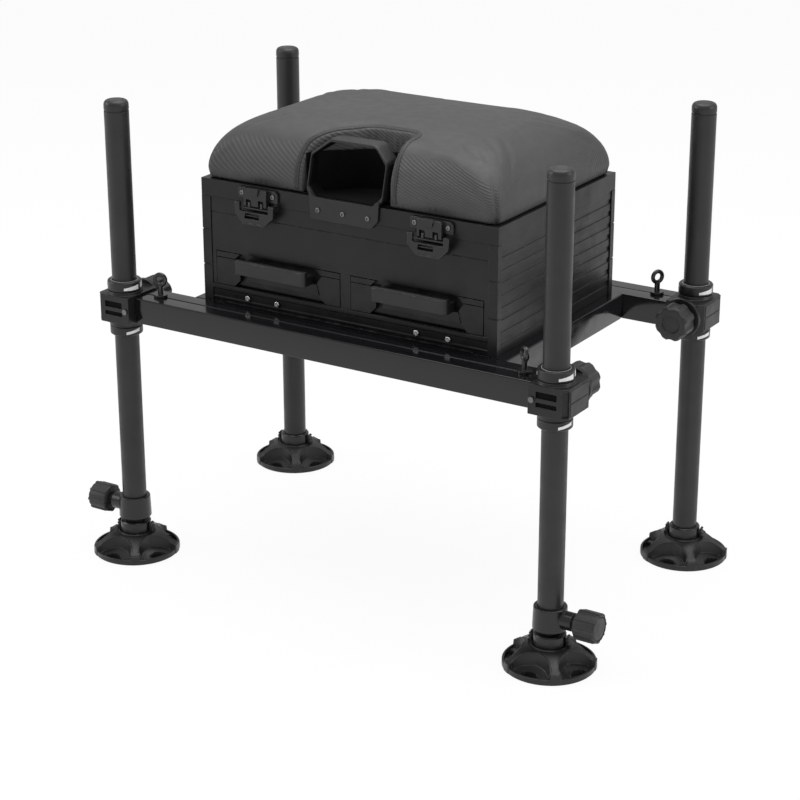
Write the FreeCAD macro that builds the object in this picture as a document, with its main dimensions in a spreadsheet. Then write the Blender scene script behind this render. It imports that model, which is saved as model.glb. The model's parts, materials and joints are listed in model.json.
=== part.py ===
import FreeCAD, Part
import Sketcher
import math
import os

# A seat box on four telescopic legs: a two-drawer box with a padded lid, held in
# a frame of two long rails, two cross rails and four leg clamps.
# All lengths are in millimetres. Z points up, the floor is z = 0, and the origin
# lies midway between the four legs. The drawers and the carry handle face -Y.

os.makedirs("parts", exist_ok=True)
doc = FreeCAD.newDocument("SeatBox")
sheet = doc.addObject("Spreadsheet::Sheet", "Sizes")


class Size:
    """A length or an angle, with the formula that gives it from the sheet's cells."""

    def __init__(self, value, formula):
        self.value = value
        self.formula = formula

    def __add__(self, other):
        return join(self, "+", other, self.value + number(other))

    def __radd__(self, other):
        return join(other, "+", self, number(other) + self.value)

    def __sub__(self, other):
        return join(self, "-", other, self.value - number(other))

    def __rsub__(self, other):
        return join(other, "-", self, number(other) - self.value)

    def __mul__(self, other):
        return join(self, "*", other, self.value * number(other))

    def __rmul__(self, other):
        return join(other, "*", self, number(other) * self.value)

    def __truediv__(self, other):
        return join(self, "/", other, self.value / number(other))

    def __neg__(self):
        return Size(-self.value, f"(0 - {self.formula})")


def number(amount):
    """The plain number of a size or a number."""
    return amount.value if isinstance(amount, Size) else float(amount)


def formula(amount):
    """The sheet formula of a size or a number."""
    return amount.formula if isinstance(amount, Size) else f"{float(amount):.6f}"


def join(left, sign, right, value):
    """One size made of two, with its value already worked out."""
    return Size(value, f"({formula(left)} {sign} {formula(right)})")


def size(name, value):
    """Write a driving dimension into the next row of the sheet."""
    row = size.rows = getattr(size, "rows", 0) + 1
    sheet.set(f"A{row}", name)
    sheet.set(f"B{row}", f"{value}")
    sheet.setAlias(f"B{row}", name)
    return Size(value, f"Sizes.{name}")


# Clearances
running_fit = size("running_fit", 0.05)
face_gap = size("face_gap", 0.3)
through = size("through", 1.0)
weld = size("weld", 1.0)

# Legs
leg_spread_x = size("leg_spread_x", 718.0)
leg_spread_y = size("leg_spread_y", 425.0)
leg_top = size("leg_top", 700.0)
leg_diameter = size("leg_diameter", 36.0)
leg_wall = size("leg_wall", 2.5)
tube_hole_radius = size("tube_hole_radius", 5.0)
cap_height = size("cap_height", 16.0)
cap_chamfer = size("cap_chamfer", 3.0)
cap_groove_depth = size("cap_groove_depth", 0.8)
cap_groove_height = size("cap_groove_height", 1.6)
cap_plug_length = size("cap_plug_length", 20.0)
cap_dish_width = size("cap_dish_width", 2.0)
cap_dish_depth = size("cap_dish_depth", 1.0)
inner_leg_diameter = size("inner_leg_diameter", 28.0)
inner_leg_wall = size("inner_leg_wall", 2.0)
inner_leg_length = size("inner_leg_length", 270.0)
inner_head_height = size("inner_head_height", 12.0)
inner_head_clearance = size("inner_head_clearance", 0.2)

# Collars at the foot of the front legs
collar_gap = size("collar_gap", 6.0)
collar_height = size("collar_height", 34.0)
collar_foot_radius = size("collar_foot_radius", 24.5)
collar_top_radius = size("collar_top_radius", 23.4)
collar_lip_height = size("collar_lip_height", 6.0)
collar_chamfer = size("collar_chamfer", 1.2)
collar_boss_diameter = size("collar_boss_diameter", 26.0)
collar_boss_reach = size("collar_boss_reach", 37.0)
collar_knob_diameter = size("collar_knob_diameter", 45.0)
collar_knob_length = size("collar_knob_length", 34.0)
collar_knob_reach = size("collar_knob_reach", 76.0)
flute_radius = size("flute_radius", 4.5)
flute_depth = size("flute_depth", 2.0)
flute_count = size("flute_count", 10.0)

# Feet
foot_radius = size("foot_radius", 66.0)
foot_rim_height = size("foot_rim_height", 11.0)
foot_rim_width = size("foot_rim_width", 4.5)
foot_edge_bevel = size("foot_edge_bevel", 1.5)
foot_floor = size("foot_floor", 5.0)
foot_hub_radius = size("foot_hub_radius", 33.0)
foot_hub_wall = size("foot_hub_wall", 3.0)
foot_hub_height = size("foot_hub_height", 32.0)
foot_scoop_radius = size("foot_scoop_radius", 27.0)
foot_scoop_circle = size("foot_scoop_circle", 65.0)
foot_scoop_count = size("foot_scoop_count", 5.0)
foot_dome_radius = size("foot_dome_radius", 48.0)
foot_dome_height = size("foot_dome_height", 22.0)
foot_hole_diameter = size("foot_hole_diameter", 12.0)
foot_hole_circle = size("foot_hole_circle", 50.0)
foot_clip_angle = size("foot_clip_angle", 18.0)
foot_clip_length = size("foot_clip_length", 8.0)
foot_clip_height = size("foot_clip_height", 3.0)
foot_clip_root = size("foot_clip_root", 2.0)
cup_radius = size("cup_radius", 23.0)
cup_height = size("cup_height", 23.0)
cup_rise = size("cup_rise", 7.0)
cup_floor_thickness = size("cup_floor_thickness", 3.0)
cup_edge = size("cup_edge", 2.0)
cup_notch_radius = size("cup_notch_radius", 4.0)
cup_notch_depth = size("cup_notch_depth", 3.0)
ankle_height = size("ankle_height", 20.0)
ankle_half_width = size("ankle_half_width", 13.0)
ankle_radius = size("ankle_radius", 8.0)
ankle_pin_radius = size("ankle_pin_radius", 3.0)
ankle_pin_seat = size("ankle_pin_seat", 2.0)
ankle_lug_width = size("ankle_lug_width", 6.0)
ankle_lug_radius = size("ankle_lug_radius", 6.0)

# Leg clamps
clamp_drop = size("clamp_drop", 0.5)
clamp_rise = size("clamp_rise", 3.0)
clamp_inner = size("clamp_inner", 27.0)
clamp_outer = size("clamp_outer", 31.0)
clamp_front = size("clamp_front", 27.5)
clamp_back = size("clamp_back", 42.0)
clamp_corner = size("clamp_corner", 7.0)
clamp_slot_depth = size("clamp_slot_depth", 2.5)
clamp_slot_length = size("clamp_slot_length", 31.0)
clamp_slot_upper = size("clamp_slot_upper", 9.0)
clamp_slot_lower = size("clamp_slot_lower", 6.0)
clamp_panel_proud = size("clamp_panel_proud", 0.9)
clamp_panel_gap = size("clamp_panel_gap", 1.6)
clamp_panel_margin = size("clamp_panel_margin", 3.0)
clamp_channel_depth = size("clamp_channel_depth", 2.5)
clamp_slot_inset = size("clamp_slot_inset", 12.0)
clamp_slot_rise = size("clamp_slot_rise", 3.0)
clamp_screw_inset = size("clamp_screw_inset", 6.0)
flange_diameter = size("flange_diameter", 58.0)
flange_thickness = size("flange_thickness", 7.0)
ring_top_radius = size("ring_top_radius", 25.0)
ring_top_height = size("ring_top_height", 15.0)
ring_low_radius = size("ring_low_radius", 24.0)
ring_low_height = size("ring_low_height", 14.0)
ring_bevel = size("ring_bevel", 1.5)
boss_top_height = size("boss_top_height", 4.5)
boss_low_height = size("boss_low_height", 7.0)
boss_flare = size("boss_flare", 1.5)
knob_rise = size("knob_rise", 20.5)
knob_diameter = size("knob_diameter", 52.0)
knob_reach = size("knob_reach", 82.0)
knob_thickness = size("knob_thickness", 30.0)
knob_lobe_count = size("knob_lobe_count", 8.0)
knob_lobe_radius = size("knob_lobe_radius", 9.0)
knob_lobe_depth = size("knob_lobe_depth", 3.5)
knob_dish_radius = size("knob_dish_radius", 14.0)
knob_dish_depth = size("knob_dish_depth", 3.0)
knob_dish_bevel = size("knob_dish_bevel", 1.0)
knob_bevel = size("knob_bevel", 3.0)
knob_neck_inset = size("knob_neck_inset", 10.0)
knob_shoulder_inset = size("knob_shoulder_inset", 8.0)
stud_radius = size("stud_radius", 4.0)

# Rails
rail_width = size("rail_width", 52.7)
rail_bottom = size("rail_bottom", 372.0)
rail_height = size("rail_height", 38.5)
rail_crease_rise = size("rail_crease_rise", 23.0)
rail_crease_proud = size("rail_crease_proud", 1.1)
rail_draw_in = size("rail_draw_in", 1.6)
rail_bevel = size("rail_bevel", 1.2)
rail_wall = size("rail_wall", 2.5)
rail_groove_width = size("rail_groove_width", 3.0)
rail_groove_depth = size("rail_groove_depth", 1.2)
rail_set_in = size("rail_set_in", 14.35)
cross_rail_inset = size("cross_rail_inset", 9.5)

# Strap eyes on the long rails
eye_inset = size("eye_inset", 28.0)
eye_height = size("eye_height", 37.0)
eye_ring_radius = size("eye_ring_radius", 8.0)
eye_wire_radius = size("eye_wire_radius", 3.0)
eye_base_radius = size("eye_base_radius", 10.0)
eye_base_height = size("eye_base_height", 4.0)
eye_neck_radius = size("eye_neck_radius", 4.0)

# Box body
box_length = size("box_length", 490.0)
box_rail_gap = size("box_rail_gap", 2.8)
box_height = size("box_height", 156.5)
post_front_width = size("post_front_width", 15.0)
post_side_width = size("post_side_width", 10.0)
post_wall = size("post_wall", 3.0)
seam_width = size("seam_width", 1.4)
seam_depth = size("seam_depth", 0.8)
tier_height = size("tier_height", 52.8)
panel_thickness = size("panel_thickness", 6.0)
panel_set_back = size("panel_set_back", 1.5)
panel_line_drop = size("panel_line_drop", 24.0)
side_rib_height = size("side_rib_height", 7.0)
side_rib_depth = size("side_rib_depth", 1.2)
side_rib_pitch = size("side_rib_pitch", 17.6)
side_rib_count = size("side_rib_count", 8.0)
low_rail_height = size("low_rail_height", 26.5)
low_rail_depth = size("low_rail_depth", 14.0)
floor_thickness = size("floor_thickness", 3.0)
shelf_thickness = size("shelf_thickness", 3.5)
box_screw_inner = size("box_screw_inner", 117.0)
box_screw_outer = size("box_screw_outer", 168.0)
box_screw_height = size("box_screw_height", 12.5)
box_screw_radius = size("box_screw_radius", 4.2)
box_screw_proud = size("box_screw_proud", 2.5)

# Drawers
drawer_opening_height = size("drawer_opening_height", 50.5)
centre_post_width = size("centre_post_width", 16.5)
drawer_side_frame = size("drawer_side_frame", 6.5)
drawer_clearance = size("drawer_clearance", 0.8)
drawer_wall = size("drawer_wall", 2.5)
drawer_back_gap = size("drawer_back_gap", 30.5)
ledge_width = size("ledge_width", 14.0)
ledge_thickness = size("ledge_thickness", 3.0)
fascia_thickness = size("fascia_thickness", 8.0)
fascia_set_in = size("fascia_set_in", 0.5)
scoop_width = size("scoop_width", 158.0)
scoop_height = size("scoop_height", 33.0)
scoop_depth = size("scoop_depth", 4.5)
scoop_chamfer = size("scoop_chamfer", 12.0)
pull_length = size("pull_length", 127.0)
pull_height = size("pull_height", 18.0)
pull_reach = size("pull_reach", 22.0)
pull_top_thickness = size("pull_top_thickness", 5.0)
pull_lip_thickness = size("pull_lip_thickness", 4.0)
pull_lip_slant = size("pull_lip_slant", 3.5)
pull_drop = size("pull_drop", 7.0)
pull_edge = size("pull_edge", 2.0)
pull_fillet = size("pull_fillet", 1.0)

# Lid
lid_height = size("lid_height", 25.0)
lid_rim_width = size("lid_rim_width", 18.0)
lid_board_thickness = size("lid_board_thickness", 8.0)
hinge_spread = size("hinge_spread", 300.0)
hinge_width = size("hinge_width", 50.0)
hinge_radius = size("hinge_radius", 5.0)
hinge_pin_radius = size("hinge_pin_radius", 2.0)
hinge_leaf_height = size("hinge_leaf_height", 20.0)
hinge_leaf_thickness = size("hinge_leaf_thickness", 2.5)
hinge_middle_width = size("hinge_middle_width", 18.0)
hinge_leaf_gap = size("hinge_leaf_gap", 1.0)
hinge_web = size("hinge_web", 2.0)

# Cushion
cushion_height = size("cushion_height", 91.4)
cushion_inset = size("cushion_inset", 1.5)
cushion_waist_draw = size("cushion_waist_draw", 3.0)
cushion_roll_x = size("cushion_roll_x", 92.0)
cushion_roll_y = size("cushion_roll_y", 70.0)
cushion_corner = size("cushion_corner", 26.0)
cushion_crown = size("cushion_crown", 5.0)
cushion_power = size("cushion_power", 2.3)
notch_side_gap = size("notch_side_gap", 16.0)
finger_room = size("finger_room", 58.0)
notch_corner = size("notch_corner", 16.0)

# Carry handle
handle_half_width = size("handle_half_width", 60.0)
handle_base_drop = size("handle_base_drop", 4.3)
handle_height = size("handle_height", 86.0)
handle_bottom_chamfer = size("handle_bottom_chamfer", 17.0)
handle_top_chamfer = size("handle_top_chamfer", 24.0)
handle_wall = size("handle_wall", 5.0)
handle_grip_height = size("handle_grip_height", 18.0)
handle_depth = size("handle_depth", 36.0)
handle_flange_half = size("handle_flange_half", 52.0)
handle_flange_drop = size("handle_flange_drop", 7.3)
handle_flange_chamfer = size("handle_flange_chamfer", 10.0)
handle_flange_shoulder = size("handle_flange_shoulder", 1.0)
handle_flange_thickness = size("handle_flange_thickness", 4.0)
handle_screw_inset = size("handle_screw_inset", 11.0)
handle_screw_rise = size("handle_screw_rise", 15.0)

# Latches
latch_spread = size("latch_spread", 287.0)
latch_width = size("latch_width", 68.0)
latch_plate_thickness = size("latch_plate_thickness", 3.0)
latch_plate_rise = size("latch_plate_rise", 0.5)
latch_plate_drop = size("latch_plate_drop", 1.0)
latch_block_drop = size("latch_block_drop", 3.0)
latch_block_half = size("latch_block_half", 17.0)
latch_block_reach = size("latch_block_reach", 10.0)
latch_block_rise = size("latch_block_rise", 3.2)
latch_screw_inset = size("latch_screw_inset", 7.65)
latch_screw_rise = size("latch_screw_rise", 10.2)
latch_lug_width = size("latch_lug_width", 1.7)
latch_lug_reach = size("latch_lug_reach", 4.0)
latch_lug_rise = size("latch_lug_rise", 5.0)
latch_pivot_drop = size("latch_pivot_drop", 5.3)
latch_pivot_proud = size("latch_pivot_proud", 9.5)
latch_pin_radius = size("latch_pin_radius", 1.6)
lever_barrel_radius = size("lever_barrel_radius", 5.0)
lever_length = size("lever_length", 26.0)
lever_thickness = size("lever_thickness", 6.0)
lever_chamfer = size("lever_chamfer", 9.0)
lever_window_half = size("lever_window_half", 20.0)
lever_window_height = size("lever_window_height", 8.0)
lever_window_drop = size("lever_window_drop", 2.0)
keeper_half = size("keeper_half", 12.0)
keeper_thickness = size("keeper_thickness", 2.6)
keeper_height = size("keeper_height", 12.0)
keeper_rise = size("keeper_rise", 4.0)
lid_screw_radius = size("lid_screw_radius", 3.6)
lid_screw_proud = size("lid_screw_proud", 2.0)
spring_radius = size("spring_radius", 2.2)
spring_length = size("spring_length", 7.0)
spring_gap = size("spring_gap", 0.5)
spring_rise = size("spring_rise", 2.0)

doc.recompute()

# Places worked out from the driving dimensions
leg_x = leg_spread_x / 2
leg_y = leg_spread_y / 2
leg_radius = leg_diameter / 2
leg_bore = leg_radius - leg_wall
inner_radius = inner_leg_diameter / 2
tube_top = leg_top - cap_height
cup_underside = ankle_height + cup_rise
cup_top = cup_underside + cup_height
cup_floor = cup_underside + cup_floor_thickness
collar_bottom = cup_top + collar_gap
collar_top = collar_bottom + collar_height
tube_seat = collar_bottom + collar_lip_height
collar_axis = collar_bottom + collar_height / 2
rail_top = rail_bottom + rail_height
rail_crease = rail_bottom + rail_crease_rise
clamp_bottom = rail_bottom - clamp_drop
clamp_top = rail_top + clamp_rise
clamp_middle = (clamp_bottom + clamp_top) / 2
knob_height = clamp_bottom + knob_rise
rail_y = leg_y - rail_set_in
rail_half = rail_width / 2
rail_reach = leg_x - clamp_inner
cross_rail_reach = rail_y - rail_half - rail_crease_proud
eye_x = rail_reach - eye_inset
box_x = box_length / 2
box_y = rail_y - rail_half - box_rail_gap
cross_rail_x = box_x - cross_rail_inset
box_bottom = rail_top
box_top = box_bottom + box_height
lid_bottom = box_top + face_gap
lid_top = lid_bottom + lid_height
panel_front = box_y - panel_set_back
panel_back = panel_front - panel_thickness
opening_bottom = box_bottom + low_rail_height
opening_top = opening_bottom + drawer_opening_height
shelf_top = opening_top + shelf_thickness
bay_inner = centre_post_width / 2
bay_outer = box_x - post_front_width - drawer_side_frame
cushion_base = lid_top + face_gap
cushion_top = cushion_base + cushion_height
handle_front = -box_y - handle_flange_thickness
handle_back = handle_front + handle_depth
handle_base = lid_top - handle_base_drop
handle_top = handle_base + handle_height
handle_flange_base = lid_bottom - handle_flange_drop
handle_screw_height = handle_flange_base + handle_screw_rise
latch_x = latch_spread / 2
latch_block_base = lid_bottom + latch_block_rise
latch_screw_height = lid_bottom + latch_screw_rise
latch_pivot_height = lid_bottom - latch_pivot_drop
latch_pivot_y = -box_y - latch_pivot_proud
lever_bottom = latch_pivot_height - lever_length

LEGS = (("fl", -1, -1), ("fr", 1, -1), ("rr", 1, 1), ("rl", -1, 1))
SIDES = (("l", -1), ("r", 1))
NODES = []
EYE_TURNS = (20, -35, 60, -10)
CUSHION_LEVELS = (0.14, 0.45, 0.7, 0.87, 0.97)


def bind(thing, prop, amount):
    """Tie one property of a document object to the sheet."""
    thing.setExpression(prop, formula(amount))


def place(thing, x=0, y=0, z=0, turn=None):
    """Move an object to a place that follows the sheet, after turning it."""
    if turn is not None:
        thing.Placement = FreeCAD.Placement(FreeCAD.Vector(0, 0, 0), turn)
    for name, amount in (("x", x), ("y", y), ("z", z)):
        bind(thing, f"Placement.Base.{name}", amount)
    return thing


def node(thing, label):
    """Keep an object as a sub-part under its own name."""
    thing.Label = label
    NODES.append(thing)
    return thing


def span(sign, low, high):
    """A stretch along an axis, mirrored when the sign is negative, low end first."""
    return (low, high) if sign > 0 else (-high, -low)


def block(x_span, y_span, z_span):
    """A box between two values on each axis."""
    thing = doc.addObject("Part::Box", "Block")
    for prop, (low, high) in zip(("Length", "Width", "Height"), (x_span, y_span, z_span)):
        bind(thing, prop, high - low)
    return place(thing, x_span[0], y_span[0], z_span[0])


TURNS = {
    "x": FreeCAD.Rotation(FreeCAD.Vector(0, 1, 0), 90),
    "y": FreeCAD.Rotation(FreeCAD.Vector(1, 0, 0), -90),
    "z": FreeCAD.Rotation(),
}


def rod(axis, radius, along, a, b):
    """A cylinder along an axis; a and b are its centre on the other two axes."""
    thing = doc.addObject("Part::Cylinder", "Rod")
    bind(thing, "Radius", radius)
    bind(thing, "Height", along[1] - along[0])
    start = along[0]
    where = {"x": (start, a, b), "y": (a, start, b), "z": (a, b, start)}[axis]
    return place(thing, *where, turn=TURNS[axis])


def fuse(*things):
    """One solid made of several that meet."""
    joined = doc.addObject("Part::MultiFuse", "Joined")
    joined.Shapes = list(things)
    joined.Refine = True
    return joined


def cut(base, *tools):
    """A solid with one or more others taken out of it."""
    result = doc.addObject("Part::Cut", "Cut")
    result.Base = base
    result.Tool = tools[0] if len(tools) == 1 else fuse(*tools)
    result.Refine = True
    return result


def group(label, things):
    """Several separate solids kept as one sub-part."""
    together = doc.addObject("Part::Compound", "Group")
    together.Links = list(things)
    return node(together, label)


def new_body(name="Body"):
    """An empty body for sketches and their features."""
    return doc.addObject("PartDesign::Body", name)


def origin_plane(body, role):
    """One of a body's own origin planes."""
    return next(f for f in body.Origin.OriginFeatures if f.Role == f"{role}_Plane")


def sketch_on(body, role, offset, loops):
    """A sketch on an origin plane, shifted along the plane's normal."""
    sketch = body.newObject("Sketcher::SketchObject", "Sketch")
    sketch.AttachmentSupport = [(origin_plane(body, role), "")]
    sketch.MapMode = "FlatFace"
    bind(sketch, "AttachmentOffset.Base.z", offset)
    for loop in loops:
        if isinstance(loop, dict):
            draw_circle(sketch, loop)
        else:
            draw_outline(sketch, loop)
    return sketch


def hold(sketch, kind, line, end, amount):
    """Fix one coordinate of a sketch point to the sheet."""
    link = Sketcher.Constraint(kind, -1, 1, line, end, number(amount))
    bind(sketch, f"Constraints[{sketch.addConstraint(link)}]", amount)


def draw_outline(sketch, corners):
    """A closed outline of straight lines through the given corners."""
    first = sketch.GeometryCount
    spots = [FreeCAD.Vector(number(a), number(b), 0) for a, b in corners]
    for here, there in zip(spots, spots[1:] + spots[:1]):
        sketch.addGeometry(Part.LineSegment(here, there))
    for index, (a, b) in enumerate(corners):
        line = first + index
        after = first + (index + 1) % len(corners)
        sketch.addConstraint(Sketcher.Constraint("Coincident", line, 2, after, 1))
        hold(sketch, "DistanceX", line, 1, a)
        hold(sketch, "DistanceY", line, 1, b)


def draw_circle(sketch, circle):
    """A circle given by its centre and radius."""
    centre = FreeCAD.Vector(number(circle["a"]), number(circle["b"]), 0)
    up = FreeCAD.Vector(0, 0, 1)
    line = sketch.addGeometry(Part.Circle(centre, up, number(circle["radius"])))
    hold(sketch, "DistanceX", line, 3, circle["a"])
    hold(sketch, "DistanceY", line, 3, circle["b"])
    link = Sketcher.Constraint("Radius", line, number(circle["radius"]))
    bind(sketch, f"Constraints[{sketch.addConstraint(link)}]", circle["radius"])


def disc(a, b, radius):
    """A circle for a sketch."""
    return {"a": a, "b": b, "radius": radius}


def rectangle(a_span, b_span):
    """A rectangle for a sketch."""
    (left, right), (low, high) = a_span, b_span
    return [(left, low), (right, low), (right, high), (left, high)]


def pad(body, role, loops, stretch):
    """Add material between two offsets along the plane's axis."""
    low, high = stretch
    sketch = sketch_on(body, role, -high if role == "XZ" else low, loops)
    feature = body.newObject("PartDesign::Pad", "Pad")
    feature.Profile = sketch
    bind(feature, "Length", high - low)
    return feature


def pocket(body, role, loops, stretch):
    """Take material away between two offsets along the plane's axis."""
    low, high = stretch
    sketch = sketch_on(body, role, -low if role == "XZ" else high, loops)
    feature = body.newObject("PartDesign::Pocket", "Pocket")
    feature.Profile = sketch
    bind(feature, "Length", high - low)
    return feature


def revolve(body, corners):
    """Turn an outline of (radius, height) corners about the body's Z axis."""
    sketch = sketch_on(body, "XZ", 0, [corners])
    feature = body.newObject("PartDesign::Revolution", "Revolution")
    feature.Profile = sketch
    feature.ReferenceAxis = (sketch, ["V_Axis"])
    feature.Angle = 360
    return feature


def repeat_round(body, feature, count):
    """Repeat a feature evenly about the body's Z axis."""
    axis = next(f for f in body.Origin.OriginFeatures if f.Role == "Z_Axis")
    pattern = body.newObject("PartDesign::PolarPattern", "Pattern")
    pattern.Originals = [feature]
    pattern.Axis = (axis, [""])
    pattern.Angle = 360
    bind(pattern, "Occurrences", count)
    body.Tip = pattern
    return pattern


def rail_section():
    """The outline and the hollow of a rail, across its length, about its middle."""
    top, low = rail_top, rail_bottom
    wide = rail_half + rail_crease_proud
    narrow = rail_half - rail_draw_in
    flat = rail_half - rail_bevel
    half_groove = rail_groove_width / 2
    right = [
        (narrow, low),
        (wide, rail_crease),
        (rail_half, top - rail_bevel),
        (flat, top),
        (half_groove, top),
        (half_groove, top - rail_groove_depth),
    ]
    left = [(-a, b) for a, b in reversed(right)]
    roof = top - rail_wall - rail_groove_depth
    inside_right = [
        (narrow - rail_wall, low + rail_wall),
        (wide - rail_wall, rail_crease),
        (rail_half - rail_wall, roof),
    ]
    inside_left = [(-a, b) for a, b in reversed(inside_right)]
    return right + left, inside_right + inside_left


def make_rails():
    """Two long rails between the clamps and two cross rails under the box."""
    outline, hollow = rail_section()
    for label, sign in (("front_rail", -1), ("rear_rail", 1)):
        body = new_body()
        pad(body, "YZ", [outline, hollow], (-rail_reach, rail_reach))
        node(place(body, y=sign * rail_y), label)
    cross = []
    for sign in (-1, 1):
        body = new_body()
        pad(body, "XZ", [outline, hollow], (-cross_rail_reach, cross_rail_reach))
        cross.append(place(body, x=sign * cross_rail_x))
    group("side_rails", cross)


def make_clamp(corner, side, end):
    """A clamp: a block with a boss above and below, a flange, end panels and the leg's bore."""
    inward = -end
    body = new_body()
    block_outline = [
        (-clamp_inner, -clamp_front),
        (clamp_outer - clamp_corner, -clamp_front),
        (clamp_outer, clamp_corner - clamp_front),
        (clamp_outer, clamp_back - clamp_corner),
        (clamp_outer - clamp_corner, clamp_back),
        (-clamp_inner, clamp_back),
    ]
    pad(body, "XY", [[(side * a, inward * b) for a, b in block_outline]], (clamp_bottom, clamp_top))
    revolve(body, [
        (0, clamp_middle), (ring_top_radius + boss_flare, clamp_middle),
        (ring_top_radius + boss_flare, clamp_top),
        (ring_top_radius, clamp_top + boss_top_height), (0, clamp_top + boss_top_height),
    ])
    revolve(body, [
        (0, clamp_bottom - boss_low_height), (ring_low_radius, clamp_bottom - boss_low_height),
        (ring_low_radius + boss_flare, clamp_bottom), (ring_low_radius + boss_flare, clamp_middle),
        (0, clamp_middle),
    ])
    pad(body, "XZ", [disc(0, knob_height, flange_diameter / 2)],
        span(inward, clamp_back, clamp_back + flange_thickness))
    panel_span = span(inward, -clamp_front + clamp_corner + clamp_panel_margin,
                      clamp_back - clamp_corner - clamp_panel_margin)
    split = clamp_panel_gap / 2
    for low, high in ((clamp_bottom + clamp_panel_margin, clamp_middle - split),
                      (clamp_middle + split, clamp_top - clamp_panel_margin)):
        pad(body, "YZ", [rectangle(panel_span, (low, high))],
            span(side, clamp_outer - clamp_corner, clamp_outer + clamp_panel_proud))
    slot = span(side, clamp_slot_inset - clamp_inner, clamp_slot_inset - clamp_inner + clamp_slot_length)
    lower_slot = clamp_middle - clamp_slot_rise - clamp_slot_lower
    for low, tall in ((clamp_middle + clamp_slot_rise, clamp_slot_upper), (lower_slot, clamp_slot_lower)):
        pocket(body, "XZ", [rectangle(slot, (low, low + tall))],
               span(inward, -clamp_front, clamp_slot_depth - clamp_front))
    deep = clamp_channel_depth
    channel = [
        (clamp_outer - clamp_corner, -clamp_front), (clamp_outer, clamp_corner - clamp_front),
        (clamp_outer - deep, clamp_corner - clamp_front + deep),
        (clamp_outer - clamp_corner - deep, deep - clamp_front),
    ]
    pocket(body, "XY", [[(side * a, inward * b) for a, b in channel]],
           (clamp_bottom + clamp_panel_margin, clamp_top - clamp_panel_margin))
    pocket(body, "XY", [disc(0, 0, leg_radius + running_fit)],
           (clamp_bottom - boss_low_height, clamp_top + boss_top_height))
    pocket(body, "XZ", [disc(0, knob_height, stud_radius + running_fit)],
           span(inward, 0, clamp_back + flange_thickness))
    node(place(body, x=side * leg_x, y=end * leg_y), f"leg_clamp_{corner}")


def make_clamp_rings():
    """The rings that close each clamp above and below."""
    rings = []
    bore = leg_radius + running_fit
    low_top = clamp_bottom - boss_low_height
    high_low = clamp_top + boss_top_height
    for _, side, end in LEGS:
        for low, tall, radius in (
            (low_top - ring_low_height, ring_low_height, ring_low_radius),
            (high_low, ring_top_height, ring_top_radius),
        ):
            body = new_body()
            revolve(body, [
                (bore, low), (radius - ring_bevel, low), (radius, low + ring_bevel),
                (radius, low + tall - ring_bevel), (radius - ring_bevel, low + tall), (bore, low + tall),
            ])
            rings.append(place(body, x=side * leg_x, y=end * leg_y))
    group("clamp_rings", rings)


def make_clamp_screws():
    """The socket screw on the outer face of each clamp."""
    screws = []
    for _, side, end in LEGS:
        face = end * (leg_y + clamp_front)
        x = side * (leg_x - clamp_inner + clamp_screw_inset)
        along = (face - box_screw_proud, face) if end < 0 else (face, face + box_screw_proud)
        screws.append(rod("y", box_screw_radius, along, x, clamp_middle))
    group("clamp_screws", screws)


def make_clamp_knob(corner, side, end):
    """A lobed hand knob on a stud that presses on the leg."""
    inward = -end
    back = knob_reach - knob_thickness
    radius = knob_diameter / 2
    start = leg_radius + face_gap
    neck = clamp_back + flange_thickness + face_gap
    body = new_body()
    revolve(body, [
        (0, start), (stud_radius, start), (stud_radius, neck), (radius - knob_neck_inset, neck),
        (radius - knob_shoulder_inset, back), (radius - knob_bevel, back), (radius, back + knob_bevel),
        (radius, knob_reach - knob_bevel), (radius - knob_bevel, knob_reach),
        (knob_dish_radius, knob_reach), (knob_dish_radius - knob_dish_bevel, knob_reach - knob_dish_depth),
        (0, knob_reach - knob_dish_depth),
    ])
    scallop = pocket(body, "XY",
                     [disc(radius + knob_lobe_radius - knob_lobe_depth, 0, knob_lobe_radius)],
                     (back - through, knob_reach + through))
    repeat_round(body, scallop, knob_lobe_count)
    turn = FreeCAD.Rotation(FreeCAD.Vector(1, 0, 0), -90 * inward)
    place(body, x=side * leg_x, y=end * leg_y, z=knob_height, turn=turn)
    node(body, f"clamp_knob_{corner}")


def make_leg(corner, side, end):
    """A leg tube and its cap; the front tubes stop at a collar."""
    front = end < 0
    bottom = tube_seat if front else cup_floor + face_gap
    body = new_body()
    pad(body, "XY", [disc(0, 0, leg_radius), disc(0, 0, leg_bore)], (bottom, tube_top))
    if front:
        pocket(body, "YZ", [disc(0, collar_axis, tube_hole_radius)], span(side, 0, leg_radius))
    node(place(body, x=side * leg_x, y=end * leg_y), f"leg_tube_{corner}")
    cap = new_body()
    plug = leg_bore - running_fit
    waist = leg_radius - cap_groove_depth
    dish = leg_radius / 2
    groove = cap_dish_width / 2
    revolve(cap, [
        (0, tube_top - cap_plug_length), (plug, tube_top - cap_plug_length), (plug, tube_top),
        (waist, tube_top), (waist, tube_top + cap_groove_height),
        (leg_radius, tube_top + cap_groove_height), (leg_radius, leg_top - cap_chamfer),
        (leg_radius - cap_chamfer, leg_top), (dish + cap_dish_width, leg_top),
        (dish + groove, leg_top - cap_dish_depth), (dish - groove, leg_top - cap_dish_depth),
        (dish - cap_dish_width, leg_top), (0, leg_top),
    ])
    node(place(cap, x=side * leg_x, y=end * leg_y), f"leg_cap_{corner}")


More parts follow.
